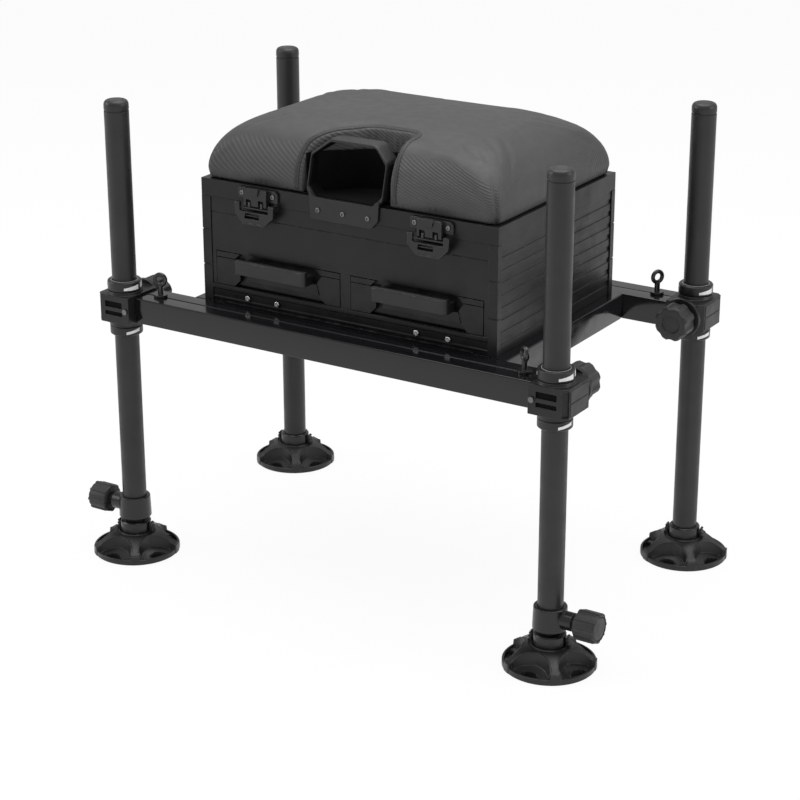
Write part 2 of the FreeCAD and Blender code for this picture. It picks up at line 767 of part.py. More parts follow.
def make_collar(corner, side, end):
    """The collar that joins a front tube to its inner leg, with a boss for the knob."""
    body = new_body()
    revolve(body, [
        (0, collar_bottom), (collar_foot_radius - collar_chamfer, collar_bottom),
        (collar_foot_radius, collar_bottom + collar_chamfer),
        (collar_top_radius, collar_top - collar_chamfer),
        (collar_top_radius - collar_chamfer, collar_top), (0, collar_top),
    ])
    pad(body, "YZ", [disc(0, collar_axis, collar_boss_diameter / 2)], span(side, 0, collar_boss_reach))
    pocket(body, "XY", [disc(0, 0, leg_radius)], (tube_seat, collar_top))
    pocket(body, "XY", [disc(0, 0, inner_radius + running_fit)], (collar_bottom, tube_seat))
    pocket(body, "YZ", [disc(0, collar_axis, stud_radius + running_fit)],
           span(side, 0, collar_boss_reach))
    node(place(body, x=side * leg_x, y=end * leg_y), f"leg_collar_{corner}")


def make_collar_knob(corner, side, end):
    """The fluted knob on a front collar."""
    body = new_body()
    radius = collar_knob_diameter / 2
    back = collar_knob_reach - collar_knob_length
    start = inner_radius + face_gap
    neck = collar_boss_reach + face_gap
    revolve(body, [
        (0, start), (stud_radius, start), (stud_radius, neck), (radius - knob_neck_inset, neck),
        (radius - knob_shoulder_inset, back), (radius - knob_bevel, back), (radius, back + knob_bevel),
        (radius, collar_knob_reach - knob_bevel), (radius - knob_bevel, collar_knob_reach),
        (0, collar_knob_reach),
    ])
    flute = pocket(body, "XY", [disc(radius + flute_radius - flute_depth, 0, flute_radius)],
                   (back - through, collar_knob_reach + through))
    repeat_round(body, flute, flute_count)
    turn = FreeCAD.Rotation(FreeCAD.Vector(0, 1, 0), 90 * side)
    place(body, x=side * leg_x, y=end * leg_y, z=collar_axis, turn=turn)
    node(body, f"collar_knob_{corner}")


def make_inner_leg(corner, side, end):
    """The thinner tube that draws out of a front leg, with a guide head at its top."""
    bottom = cup_floor + face_gap
    top = bottom + inner_leg_length
    head = leg_bore - inner_head_clearance
    bore = inner_radius - inner_leg_wall
    body = new_body()
    revolve(body, [
        (bore, bottom), (inner_radius, bottom), (inner_radius, top - inner_head_height),
        (head, top - inner_head_height), (head, top), (bore, top),
    ])
    node(place(body, x=side * leg_x, y=end * leg_y), f"inner_leg_{corner}")


def make_foot_cup(corner, side, end):
    """The cup under a leg, with the knuckle and the pin that the foot tilts on."""
    held = (inner_radius if end < 0 else leg_radius) + running_fit
    body = new_body()
    revolve(body, [
        (0, cup_underside), (cup_radius, cup_underside), (cup_radius, cup_top - cup_edge),
        (cup_radius - cup_edge, cup_top), (held, cup_top), (held, cup_floor), (0, cup_floor),
    ])
    half = ankle_half_width
    pad(body, "YZ", [disc(0, ankle_height, ankle_radius)], (-half, half))
    pad(body, "YZ", [rectangle((-ankle_radius, ankle_radius), (ankle_height, cup_underside + weld))],
        (-half, half))
    pin_half = half + face_gap + ankle_lug_width
    pad(body, "YZ", [disc(0, ankle_height, ankle_pin_radius)], (-pin_half, pin_half))
    pocket(body, "XZ", [disc(0, cup_underside, cup_notch_radius)],
           (-cup_radius, cup_notch_depth - cup_radius))
    node(place(body, x=side * leg_x, y=end * leg_y), f"foot_cup_{corner}")


def make_foot_disc(corner, side, end):
    """The round foot: a dome with five scoops, a rim, a hub well and two lugs for the pin."""
    rim_inner = foot_radius - foot_rim_width
    well = foot_hub_radius - foot_hub_wall
    body = new_body()
    revolve(body, [
        (0, 0), (rim_inner, 0), (rim_inner, foot_rim_height), (foot_dome_radius, foot_dome_height),
        (foot_hub_radius + foot_hub_wall / 2, foot_hub_height), (well, foot_hub_height), (well, foot_floor),
        (0, foot_floor),
    ])
    turn = math.radians(90 + 180 / number(foot_scoop_count))
    across, along = math.cos(turn), math.sin(turn)
    scoop = pocket(body, "XY", [disc(foot_scoop_circle * across, foot_scoop_circle * along,
                                     foot_scoop_radius)], (foot_floor, foot_hub_height))
    repeat_round(body, scoop, foot_scoop_count)
    hole = pocket(body, "XY", [disc(foot_hole_circle * across, foot_hole_circle * along,
                                    foot_hole_diameter / 2)], (0, foot_floor))
    repeat_round(body, hole, foot_scoop_count)
    revolve(body, [
        (rim_inner - foot_edge_bevel, 0), (foot_radius - foot_edge_bevel, 0), (foot_radius, foot_edge_bevel),
        (foot_radius, foot_rim_height - foot_edge_bevel), (foot_radius - foot_edge_bevel, foot_rim_height),
        (rim_inner, foot_rim_height), (rim_inner - foot_edge_bevel, foot_floor),
    ])
    lug_start = ankle_half_width + face_gap
    for sign in (-1, 1):
        pad(body, "YZ", [[
            (-ankle_lug_radius, foot_floor - weld), (ankle_lug_radius, foot_floor - weld),
            (ankle_lug_radius, ankle_height), (ankle_lug_radius / 2, ankle_height + ankle_lug_radius),
            (-ankle_lug_radius / 2, ankle_height + ankle_lug_radius), (-ankle_lug_radius, ankle_height),
        ]], span(sign, lug_start, lug_start + ankle_lug_width))
        clip = math.radians(number(foot_clip_angle))
        ring = foot_hub_radius - foot_hub_wall / 2
        middle_x = sign * ring * math.cos(clip)
        middle_y = ring * math.sin(clip)
        pad(body, "XY", [rectangle(
            (middle_x - foot_hub_wall / 2, middle_x + foot_hub_wall / 2),
            (middle_y - foot_clip_length / 2, middle_y + foot_clip_length / 2),
        )], (foot_hub_height - foot_clip_root, foot_hub_height + foot_clip_height))
    pocket(body, "YZ", [disc(0, ankle_height, ankle_pin_radius + running_fit)],
           (ankle_pin_seat - well, well - ankle_pin_seat))
    node(place(body, x=side * leg_x, y=end * leg_y), f"foot_disc_{corner}")


def make_strap_eyes():
    """The four eyes that stand on the long rails."""
    eyes = []
    ring_middle = rail_top + eye_height - eye_ring_radius - eye_wire_radius
    for (_, side, end), turn in zip(LEGS, EYE_TURNS):
        base = rod("z", eye_base_radius, (rail_top, rail_top + eye_base_height), 0, 0)
        neck = rod("z", eye_neck_radius, (rail_top, ring_middle - eye_ring_radius), 0, 0)
        ring = doc.addObject("Part::Torus", "Ring")
        bind(ring, "Radius1", eye_ring_radius)
        bind(ring, "Radius2", eye_wire_radius)
        place(ring, z=ring_middle, turn=TURNS["y"])
        eye = fuse(base, neck, ring)
        spin = FreeCAD.Rotation(FreeCAD.Vector(0, 0, 1), turn)
        eyes.append(place(eye, x=side * eye_x, y=end * rail_y, turn=spin))
    group("strap_eyes", eyes)


def make_posts():
    """The four corner posts, grooved where the tiers of the box meet."""
    posts = []
    for _, side, end in LEGS:
        x_span = span(side, box_x - post_front_width, box_x)
        y_span = span(end, box_y - post_side_width, box_y)
        post = block(x_span, y_span, (box_bottom, box_top))
        hollow = block(span(side, box_x - post_front_width, box_x - post_wall),
                       span(end, box_y - post_side_width, box_y - post_wall),
                       (box_bottom, box_top))
        seams = []
        for tier in (1, 2):
            seam = box_bottom + tier * tier_height
            seams.append(block(span(side, box_x - post_front_width, box_x),
                               span(end, box_y - seam_depth, box_y), (seam, seam + seam_width)))
            seams.append(block(span(side, box_x - seam_depth, box_x),
                               span(end, box_y - post_side_width, box_y), (seam, seam + seam_width)))
        posts.append(cut(post, hollow, *seams))
    group("corner_posts", posts)


def make_walls():
    """The panels that close the box between its posts."""
    inner_x = box_x - post_front_width
    front = block((-inner_x, inner_x), (-panel_front, -panel_back), (opening_top, box_top))
    line = box_top - panel_line_drop
    groove = block((-inner_x, inner_x), (-panel_front, -panel_front + seam_depth), (line, line + seam_width))
    node(cut(front, groove), "front_upper_panel")
    low = block((-inner_x, inner_x), (-panel_front, -panel_front + low_rail_depth),
                (box_bottom, opening_bottom))
    node(low, "front_lower_rail")
    rear = block((-inner_x, inner_x), (panel_back, panel_front), (box_bottom, box_top))
    node(rear, "rear_panel")
    inner_y = box_y - post_side_width
    sides = []
    for _, side in SIDES:
        x_span = span(side, box_x - panel_set_back - panel_thickness, box_x - panel_set_back)
        wall = block(x_span, (-inner_y, inner_y), (box_bottom, box_top))
        grooves = []
        for step in range(1, int(number(side_rib_count)) + 1):
            low_edge = box_bottom + step * side_rib_pitch - side_rib_height / 2
            groove_x = span(side, box_x - panel_set_back - side_rib_depth, box_x - panel_set_back)
            grooves.append(block(groove_x, (-inner_y, inner_y), (low_edge, low_edge + side_rib_height)))
        sides.append(cut(wall, *grooves))
    group("side_panels", sides)


def make_inside():
    """The floor, the drawer guides and the shelf over the drawers."""
    inner_x = box_x - panel_set_back - panel_thickness
    floor_y = panel_back
    floor_front = -panel_front + low_rail_depth
    floor = block((-inner_x, inner_x), (floor_front, floor_y), (box_bottom, box_bottom + floor_thickness))
    corner = block((-inner_x, -inner_x + post_front_width), (floor_y - post_side_width, floor_y),
                   (box_bottom, box_bottom + floor_thickness))
    corners = [corner, block((inner_x - post_front_width, inner_x), (floor_y - post_side_width, floor_y),
                             (box_bottom, box_bottom + floor_thickness))]
    node(cut(floor, *corners), "box_floor")
    shelf = block((-inner_x + post_front_width, inner_x - post_front_width), (-panel_back, panel_back),
                  (opening_top, shelf_top))
    node(shelf, "drawer_shelf")
    guide_bottom = box_bottom + floor_thickness
    partition = block((-bay_inner, bay_inner), (floor_front, floor_y), (guide_bottom, opening_top))
    face = block((-bay_inner, bay_inner), (-panel_front, floor_front), (opening_bottom, opening_top))
    ledge = block((-bay_inner - ledge_width, bay_inner + ledge_width), (floor_front, floor_y),
                  (opening_bottom - ledge_thickness, opening_bottom))
    guides = [fuse(partition, face, ledge)]
    for _, side in SIDES:
        frame = block(span(side, bay_outer, box_x - post_front_width),
                      (-panel_front, floor_front), (opening_bottom, opening_top))
        rail = block(span(side, bay_outer - ledge_width, inner_x),
                     (floor_front, floor_y - post_side_width),
                     (opening_bottom - ledge_thickness, opening_bottom))
        guides.append(frame)
        guides.append(rail)
    group("drawer_guides", guides)


def make_box_screws():
    """Cap screws along the lower front rail."""
    screws = []
    for side in (-1, 1):
        for x in (box_screw_inner, box_screw_outer):
            screws.append(rod("y", box_screw_radius, (-panel_front - box_screw_proud, -panel_front),
                              side * x, box_bottom + box_screw_height))
    group("box_screws", screws)


def make_drawer(name, side):
    """A drawer tub of five panels, and its fascia with a pull."""
    left, right = span(side, bay_inner + drawer_clearance, bay_outer - drawer_clearance)
    low = opening_bottom + face_gap
    high = opening_top - drawer_clearance
    fascia_front = fascia_set_in - panel_front
    fascia_back = fascia_front + fascia_thickness
    tub_back = panel_back - drawer_back_gap
    floor = low + drawer_wall
    between = (fascia_back + drawer_wall, tub_back - drawer_wall)
    group(f"drawer_tub_{name}", [
        block((left, right), (fascia_back, tub_back), (low, floor)),
        block((left, right), (fascia_back, between[0]), (floor, high)),
        block((left, right), (between[1], tub_back), (floor, high)),
        block((left, left + drawer_wall), between, (floor, high)),
        block((right - drawer_wall, right), between, (floor, high)),
    ])
    body = new_body()
    half = (right - left) / 2
    middle = (left + right) / 2
    pad(body, "XZ", [rectangle((-half, half), (low, high))], (fascia_front, fascia_back))
    scoop_half = scoop_width / 2
    scoop_top = low + (high - low) / 2 + scoop_height / 2
    scoop_low = scoop_top - scoop_height
    pocket(body, "XZ", [[
        (-scoop_half + scoop_chamfer, scoop_low), (scoop_half - scoop_chamfer, scoop_low),
        (scoop_half, scoop_low + scoop_chamfer), (scoop_half, scoop_top),
        (-scoop_half, scoop_top), (-scoop_half, scoop_low + scoop_chamfer),
    ]], (fascia_front, fascia_front + scoop_depth))
    pull_top = scoop_top - pull_drop + pull_height / 2
    tip = fascia_front - pull_reach
    root = fascia_front + scoop_depth + weld
    pull_low = pull_top - pull_height
    pad(body, "YZ", [[
        (root, pull_top - pull_top_thickness), (root, pull_top), (tip + pull_edge, pull_top),
        (tip, pull_top - pull_edge), (tip + pull_lip_slant, pull_low),
        (tip + pull_lip_slant + pull_lip_thickness, pull_low),
        (tip + pull_lip_thickness + pull_fillet, pull_top - pull_top_thickness),
    ]], (-pull_length / 2, pull_length / 2))
    node(place(body, x=middle), f"drawer_front_{name}")


def make_lid():
    """The lid's rim, and the board inside it that carries the cushion."""
    rim = block((-box_x, box_x), (-box_y, box_y), (lid_bottom, lid_top))
    gap_x = box_x - lid_rim_width
    gap_y = box_y - lid_rim_width
    gap = block((-gap_x, gap_x), (-gap_y, gap_y), (lid_bottom, lid_top))
    node(cut(rim, gap), "lid_frame")
    board = block((-gap_x, gap_x), (-gap_y, gap_y), (lid_top - lid_board_thickness, lid_top))
    node(board, "lid_board")


def make_hinges():
    """Two butt hinges at the back: leaves and pins on the box, leaves on the lid."""
    pivot_y = box_y + face_gap + hinge_radius
    pivot_z = lid_bottom
    on_box = []
    on_lid = []
    for side in (-1, 1):
        x = side * hinge_spread / 2
        half, mid = hinge_width / 2, hinge_middle_width / 2
        leaf = block((x - half, x + half), (box_y, box_y + hinge_leaf_thickness),
                     (pivot_z - hinge_leaf_height, pivot_z - hinge_radius - hinge_leaf_gap))
        pin = rod("x", hinge_pin_radius, (x - half, x + half), pivot_y, pivot_z)
        pieces = [leaf, pin]
        for low, high in ((x - half, x - mid - face_gap), (x + mid + face_gap, x + half)):
            pieces.append(rod("x", hinge_radius, (low, high), pivot_y, pivot_z))
            pieces.append(block((low, high), (box_y, pivot_y),
                                (pivot_z - hinge_radius - hinge_web, pivot_z - hinge_radius + weld)))
        on_box.append(fuse(*pieces))
        lid_leaf = block((x - half, x + half), (box_y, box_y + hinge_leaf_thickness),
                         (pivot_z + hinge_radius + hinge_leaf_gap, pivot_z + hinge_leaf_height))
        knuckle = rod("x", hinge_radius, (x - mid, x + mid), pivot_y, pivot_z)
        web = block((x - mid, x + mid), (box_y, pivot_y),
                    (pivot_z + hinge_radius - weld, pivot_z + hinge_radius + hinge_web))
        bore = rod("x", hinge_pin_radius + running_fit, (x - mid, x + mid), pivot_y, pivot_z)
        on_lid.append(cut(fuse(lid_leaf, knuckle, web), bore))
    group("body_hinges", on_box)
    group("lid_hinge_leaves", on_lid)


def rounded_loop(half_x, half_y, radius, height):
    """A rectangle with round corners, as one closed wire."""
    edges = []
    corners = ((1, 1, 0), (-1, 1, 90), (-1, -1, 180), (1, -1, 270))
    arcs = []
    for sign_x, sign_y, start in corners:
        middle = FreeCAD.Vector(sign_x * (half_x - radius), sign_y * (half_y - radius), height)
        reach = [FreeCAD.Vector(math.cos(math.radians(start + step)), math.sin(math.radians(start + step)), 0)
                 for step in (0, 45, 90)]
        arcs.append([middle + spoke * radius for spoke in reach])
    for index, (begin, through, finish) in enumerate(arcs):
        edges.append(Part.Arc(begin, through, finish).toShape())
        edges.append(Part.LineSegment(finish, arcs[(index + 1) % 4][0]).toShape())
    return Part.Wire(edges)


def make_cushion():
    """The padded seat: drawn in at its base, full at the side and crowned on top."""
    base = number(cushion_base)
    top = number(cushion_top)
    tall = top - number(cushion_crown) - base
    half_x = number(box_x - cushion_inset)
    half_y = number(box_y - cushion_inset)
    power = number(cushion_power)
    waist = number(cushion_waist_draw)
    radius = number(cushion_corner)
    loops = [rounded_loop(half_x - waist, half_y - waist, radius - waist, base)]
    for share in CUSHION_LEVELS:
        roll = 1 - (1 - share ** power) ** (1 / power)
        loops.append(rounded_loop(half_x - roll * number(cushion_roll_x),
                                  half_y - roll * number(cushion_roll_y),
                                  radius + share * radius, base + share * tall))
    rim_x, rim_y = half_x - number(cushion_roll_x), half_y - number(cushion_roll_y)
    loops.append(rounded_loop(rim_x, rim_y, radius, base + tall))
    loops.append(rounded_loop(rim_x / 2, rim_y / 2, radius, top))
    padding = Part.makeLoft(loops, True, True)
    wide = number(handle_half_width + notch_side_gap)
    reach = half_y + number(handle_back + finger_room)
    corner = number(notch_corner)
    notch = Part.makeBox(2 * wide, 2 * reach, 3 * tall, FreeCAD.Vector(-wide, -half_y - reach, base - tall))
    upright = [edge for edge in notch.Edges
               if abs(edge.tangentAt(edge.FirstParameter).z) > 0.5 and edge.CenterOfMass.y > -half_y]
    notch = notch.makeFillet(corner, upright)
    thing = doc.addObject("Part::Feature", "Cushion")
    thing.Shape = padding.cut(notch)
    node(thing, "seat_cushion")


def octagon(half, low, high, low_chamfer, high_chamfer):
    """A box outline with its four corners cut off."""
    return [
        (-half + low_chamfer, low), (half - low_chamfer, low), (half, low + low_chamfer),
        (half, high - high_chamfer), (half - high_chamfer, high), (-half + high_chamfer, high),
        (-half, high - high_chamfer), (-half, low + low_chamfer),
    ]


def make_handle():
    """The carry handle: a flange on the lid's rim and an eight-sided tunnel with a grip."""
    front, back = handle_front, handle_back
    body = new_body()
    outer = octagon(handle_half_width, handle_base, handle_top, handle_bottom_chamfer, handle_top_chamfer)
    inner = octagon(handle_half_width - handle_wall, handle_base + handle_wall,
                    handle_top - handle_grip_height, handle_bottom_chamfer, handle_top_chamfer)
    pad(body, "XZ", [outer, inner], (front, back))
    flange = octagon(handle_flange_half, handle_flange_base, handle_base + handle_wall,
                     handle_flange_chamfer, handle_flange_shoulder)
    pad(body, "XZ", [flange], (front, -box_y))
    rim = handle_half_width + through
    pocket(body, "XZ", [rectangle((-rim, rim), (handle_base - through, lid_top))], (-box_y, back + through))
    node(body, "carry_handle")


def make_lid_screws():
    """Screws through the latch brackets and the handle's flange."""
    screws = []
    head = (handle_front - lid_screw_proud, handle_front)
    for step in (-1, 0, 1):
        x = step * (handle_flange_half - handle_screw_inset)
        screws.append(rod("y", lid_screw_radius, head, x, handle_screw_height))
    plate = -box_y - latch_plate_thickness
    for side in (-1, 1):
        for hand in (-1, 1):
            x = side * latch_x + hand * (latch_width / 2 - latch_screw_inset)
            screws.append(rod("y", lid_screw_radius, (plate - lid_screw_proud, plate), x, latch_screw_height))
    group("lid_screws", screws)


def make_latch_brackets():
    """The brackets on the lid that the latch levers hang from."""
    brackets = []
    springs = []
    pivot_y = latch_pivot_y
    plate_back = -box_y
    plate_front = plate_back - latch_plate_thickness
    for side in (-1, 1):
        x = side * latch_x
        half = latch_width / 2
        plate = block((x - half, x + half), (plate_front, plate_back),
                      (lid_bottom + latch_plate_rise, lid_top - latch_plate_drop))
        raised = block((x - latch_block_half, x + latch_block_half),
                       (plate_back - latch_block_reach, plate_back),
                       (latch_block_base, lid_top - latch_block_drop))
        pin = rod("x", latch_pin_radius, (x - half, x + half), pivot_y, latch_pivot_height)
        pieces = [plate, raised, pin]
        for hand in (-1, 1):
            lug_x = [x + value for value in span(hand, half - latch_lug_width, half)]
            pieces.append(block(lug_x, (pivot_y - latch_lug_reach, plate_back - face_gap),
                                (latch_pivot_height - latch_lug_reach, lid_bottom + latch_lug_rise)))
            spring_x = x + hand * (latch_block_half + spring_radius + spring_gap)
            spring_low = latch_block_base + spring_rise
            springs.append(rod("z", spring_radius, (spring_low, spring_low + spring_length),
                               spring_x, plate_front - spring_radius))
        brackets.append(fuse(*pieces))
    group("latch_brackets", brackets + springs)


def make_latch_lever(name, side):
    """A latch lever on its pin, with a window and cut lower corners."""
    x = side * latch_x
    half = latch_width / 2 - latch_lug_width - face_gap
    pivot_y = latch_pivot_y
    front = pivot_y - lever_barrel_radius
    body = new_body()
    pad(body, "YZ", [disc(pivot_y, latch_pivot_height, lever_barrel_radius)], (-half, half))
    pad(body, "XZ", [[
        (-half + lever_chamfer, lever_bottom), (half - lever_chamfer, lever_bottom),
        (half, lever_bottom + lever_chamfer), (half, latch_pivot_height),
        (-half, latch_pivot_height), (-half, lever_bottom + lever_chamfer),
    ]], (front, front + lever_thickness))
    window_low = lever_bottom + lever_chamfer - lever_window_drop
    pocket(body, "XZ", [rectangle((-lever_window_half, lever_window_half),
                                  (window_low, window_low + lever_window_height))],
           (front, front + lever_thickness))
    pocket(body, "YZ", [disc(pivot_y, latch_pivot_height, latch_pin_radius + running_fit)], (-half, half))
    node(place(body, x=x), f"latch_lever_{name}")


def make_keepers():
    """The keeper plates on the box that the latch levers pull against."""
    keepers = []
    low = lever_bottom + keeper_rise
    for side in (-1, 1):
        x = side * latch_x
        keepers.append(block((x - keeper_half, x + keeper_half),
                             (-panel_front - keeper_thickness, -panel_front), (low, low + keeper_height)))
    group("latch_keepers", keepers)


make_rails()
make_clamp_rings()
make_clamp_screws()
make_strap_eyes()
for corner, side, end in LEGS:
    make_clamp(corner, side, end)
    make_clamp_knob(corner, side, end)
    make_leg(corner, side, end)
    make_foot_cup(corner, side, end)
    make_foot_disc(corner, side, end)
    if end < 0:
        make_collar(corner, side, end)
        make_collar_knob(corner, side, end)
        make_inner_leg(corner, side, end)
make_posts()
make_walls()
make_inside()
make_box_screws()
make_lid()
make_hinges()
make_cushion()
make_handle()
make_lid_screws()
make_latch_brackets()
make_keepers()
for name, side in SIDES:
    make_drawer(name, side)
    make_latch_lever(name, side)
doc.recompute()

for thing in doc.Objects:
    if "Invalid" in thing.State or "Error" in thing.State:
        raise RuntimeError(f"{thing.Label} ({thing.Name}) did not build: {thing.State}")
for thing in NODES:
    shape = thing.Shape
    if shape.isNull() or not shape.isValid() or not shape.Solids:
        raise RuntimeError(f"{thing.Label} has no valid solid")
for thing in NODES:
    thing.Shape.exportStep(f"parts/{thing.Label}.step")
    print(f"{thing.Label}: {len(thing.Shape.Solids)} solid(s), {thing.Shape.Volume:.0f} mm3")
print(f"{len(NODES)} sub-parts written")
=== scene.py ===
"""A seat box on four telescopic legs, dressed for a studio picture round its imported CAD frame."""
import json
import logging
import math
from dataclasses import dataclass
from enum import Enum
from typing import Callable, Iterable, Optional, Sequence

import bmesh
import bpy
from mathutils import Matrix, Vector
from mathutils.bvhtree import BVHTree

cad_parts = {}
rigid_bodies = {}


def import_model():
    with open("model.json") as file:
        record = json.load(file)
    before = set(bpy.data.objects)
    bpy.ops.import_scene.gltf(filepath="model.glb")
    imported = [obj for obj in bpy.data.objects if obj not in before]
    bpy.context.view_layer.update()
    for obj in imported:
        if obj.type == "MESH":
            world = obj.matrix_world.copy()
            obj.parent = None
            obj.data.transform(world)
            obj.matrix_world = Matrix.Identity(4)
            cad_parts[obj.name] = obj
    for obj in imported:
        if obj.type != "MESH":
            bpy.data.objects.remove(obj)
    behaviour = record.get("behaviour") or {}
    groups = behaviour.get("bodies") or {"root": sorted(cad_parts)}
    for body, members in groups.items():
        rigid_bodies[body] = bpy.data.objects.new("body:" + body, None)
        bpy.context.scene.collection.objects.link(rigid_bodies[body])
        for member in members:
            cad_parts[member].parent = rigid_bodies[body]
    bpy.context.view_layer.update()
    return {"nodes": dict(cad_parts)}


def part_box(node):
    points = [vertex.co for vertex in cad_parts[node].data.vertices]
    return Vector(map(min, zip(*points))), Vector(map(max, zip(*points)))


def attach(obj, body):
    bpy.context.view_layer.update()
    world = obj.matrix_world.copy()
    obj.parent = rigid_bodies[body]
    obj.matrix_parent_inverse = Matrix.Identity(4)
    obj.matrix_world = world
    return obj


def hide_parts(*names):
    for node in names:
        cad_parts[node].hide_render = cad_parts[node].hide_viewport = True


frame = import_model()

MM = 0.001
LATCH_X = 143.5
LOG = logging.getLogger("seat_box")

Point = tuple[float, float, float]
Flat = tuple[float, float]


class Side(Enum):
    """The left or the right half of the box, with its sign on the X axis."""

    LEFT = ("l", -1)
    RIGHT = ("r", 1)

    @property
    def tag(self) -> str:
        """The letter that node names use."""
        return self.value[0]

    @property
    def sign(self) -> int:
        """The sign of the half on the X axis."""
        return self.value[1]


class Corner(Enum):
    """One of the four legs: its letters, its sign on X and its sign on Y."""

    FRONT_LEFT = ("fl", -1, -1)
    FRONT_RIGHT = ("fr", 1, -1)
    REAR_RIGHT = ("rr", 1, 1)
    REAR_LEFT = ("rl", -1, 1)

    @property
    def tag(self) -> str:
        """The letters that node names use."""
        return self.value[0]

    @property
    def side(self) -> int:
        """The sign of the leg on the X axis."""
        return self.value[1]

    @property
    def end(self) -> int:
        """The sign of the leg on the Y axis."""
        return self.value[2]

    @property
    def front(self) -> bool:
        """True for the two legs on the drawer side."""
        return self.end < 0


# Shader node groups


class Graph:
    """A short way to add and link nodes in one node tree."""

    def __init__(self, tree: bpy.types.NodeTree) -> None:
        """Keep the tree that nodes are added to.

        Args:
            tree: The node tree of a material or of a group.
        """
        self.tree = tree

    def add(self, kind: str, inputs: Optional[dict] = None, **settings: object) -> bpy.types.Node:
        """Add one node.

        Args:
            kind: The node's type name.
            inputs: Values or output sockets, by input name or index.
            **settings: Attributes of the node.

        Returns:
            The new node.
        """
        node = self.tree.nodes.new(kind)
        for name, value in settings.items():
            setattr(node, name, value)
        for name, value in (inputs or {}).items():
            if isinstance(value, bpy.types.NodeSocket):
                self.tree.links.new(value, node.inputs[name])
            else:
                node.inputs[name].default_value = value
        return node

    def math(self, operation: str, *values: object) -> bpy.types.NodeSocket:
        """Add a math node.

        Args:
            operation: The operation's name.
            *values: Its inputs, as numbers or sockets.

        Returns:
            The result's socket.
        """
        node = self.add("ShaderNodeMath", dict(enumerate(values)), operation=operation)
        return node.outputs[0]

    def ramp(self, value: object, low: float, high: float, start: float = 0.0, end: float = 1.0,
             smooth: bool = True) -> bpy.types.NodeSocket:
        """Map a value from one stretch to another, held at both ends.

        Args:
            value: The socket to map.
            low: The value that gives start.
            high: The value that gives end.
            start: The result at low.
            end: The result at high.
            smooth: Whether to ease at both ends.

        Returns:
            The result's socket.
        """
        kind = "SMOOTHSTEP" if smooth else "LINEAR"
        node = self.add("ShaderNodeMapRange", {0: value, 1: low, 2: high, 3: start, 4: end},
                        interpolation_type=kind, clamp=True)
        return node.outputs[0]

    def mix(self, share: object, first: object, second: object) -> bpy.types.NodeSocket:
        """Mix two colours.

        Args:
            share: How much of the second colour shows.
            first: The first colour.
            second: The second colour.

        Returns:
            The mixed colour's socket.
        """
        node = self.add("ShaderNodeMix", {0: share, 6: first, 7: second}, data_type="RGBA")
        return node.outputs[2]

    def noise(self, where: object, scale: float, detail: float = 4.0,
              roughness: float = 0.55) -> bpy.types.NodeSocket:
        """Add a noise texture.

        Args:
            where: The coordinates' socket.
            scale: Its scale per metre.
            detail: Its octaves.
            roughness: How strong the fine octaves are.

        Returns:
            The noise value's socket.
        """
        node = self.add("ShaderNodeTexNoise", {"Vector": where, "Scale": scale, "Detail": detail,
                                               "Roughness": roughness})
        return node.outputs[0]


def new_group(name: str, takes: Sequence[tuple[str, str, object]],
              gives: Sequence[tuple[str, str]]) -> tuple[bpy.types.NodeTree, Graph, object, object]:
    """Start a shader node group.

    Args:
        name: The group's name.
        takes: Its inputs, as (name, socket type, default value).
        gives: Its outputs, as (name, socket type).

    Returns:
        The group, its graph, its input node and its output node.
    """
    group = bpy.data.node_groups.new(name, "ShaderNodeTree")
    for label, kind, value in takes:
        socket = group.interface.new_socket(name=label, in_out="INPUT", socket_type=kind)
        socket.default_value = value
    for label, kind in gives:
        group.interface.new_socket(name=label, in_out="OUTPUT", socket_type=kind)
    graph = Graph(group)
    start = graph.add("NodeGroupInput")
    end = graph.add("NodeGroupOutput")
    return group, graph, start, end


FLOAT = "NodeSocketFloat"
COLOR = "NodeSocketColor"


def make_wear_group() -> bpy.types.NodeTree:
    """Build the group that lightens rubbed edges and mottles a surface.

    Returns:
        A group that puts out a colour, a roughness and a height.
    """
    group, graph, start, end = new_group(
        "rubbed_finish",
        [("Colour", COLOR, (0.03, 0.03, 0.03, 1)), ("Roughness", FLOAT, 0.4), ("Edge", FLOAT, 0.3),
         ("Mottle", FLOAT, 0.12), ("Grain", FLOAT, 900.0)],
        [("Colour", COLOR), ("Roughness", FLOAT), ("Height", FLOAT)])
    where = graph.add("ShaderNodeTexCoord").outputs["Object"]
    broad = graph.noise(where, 14.0, 3.0)
    middle = graph.noise(where, 90.0, 4.0)
    fine = graph.add("ShaderNodeTexNoise", {"Vector": where, "Scale": start.outputs["Grain"], "Detail": 2.0})
    bevel = graph.add("ShaderNodeBevel", {"Radius": 0.0012}, samples=4)
    flat = graph.add("ShaderNodeNewGeometry").outputs["Normal"]
    turn = graph.add("ShaderNodeVectorMath", {0: bevel.outputs[0], 1: flat}, operation="DOT_PRODUCT")
    edge = graph.ramp(turn.outputs["Value"], 0.995, 0.86)
    patch = graph.ramp(middle, 0.42, 0.66)
    worn = graph.math("MULTIPLY", graph.math("MULTIPLY", edge, patch), start.outputs["Edge"])
    light = graph.mix(worn, start.outputs["Colour"], (0.16, 0.16, 0.165, 1))
    shade = graph.math("MULTIPLY", graph.ramp(broad, 0.3, 0.7, -1.0, 1.0), start.outputs["Mottle"])
    tone = graph.math("ADD", 1.0, shade)
    toned = graph.add("ShaderNodeVectorMath", {0: light, "Scale": tone}, operation="SCALE")
    smear = graph.ramp(graph.noise(where, 38.0, 5.0), 0.3, 0.7, -0.06, 0.08)
    rough = graph.math("ADD", start.outputs["Roughness"], smear)
    graph.tree.links.new(toned.outputs[0], end.inputs["Colour"])
    graph.tree.links.new(rough, end.inputs["Roughness"])
    graph.tree.links.new(fine.outputs[0], end.inputs["Height"])
    return group


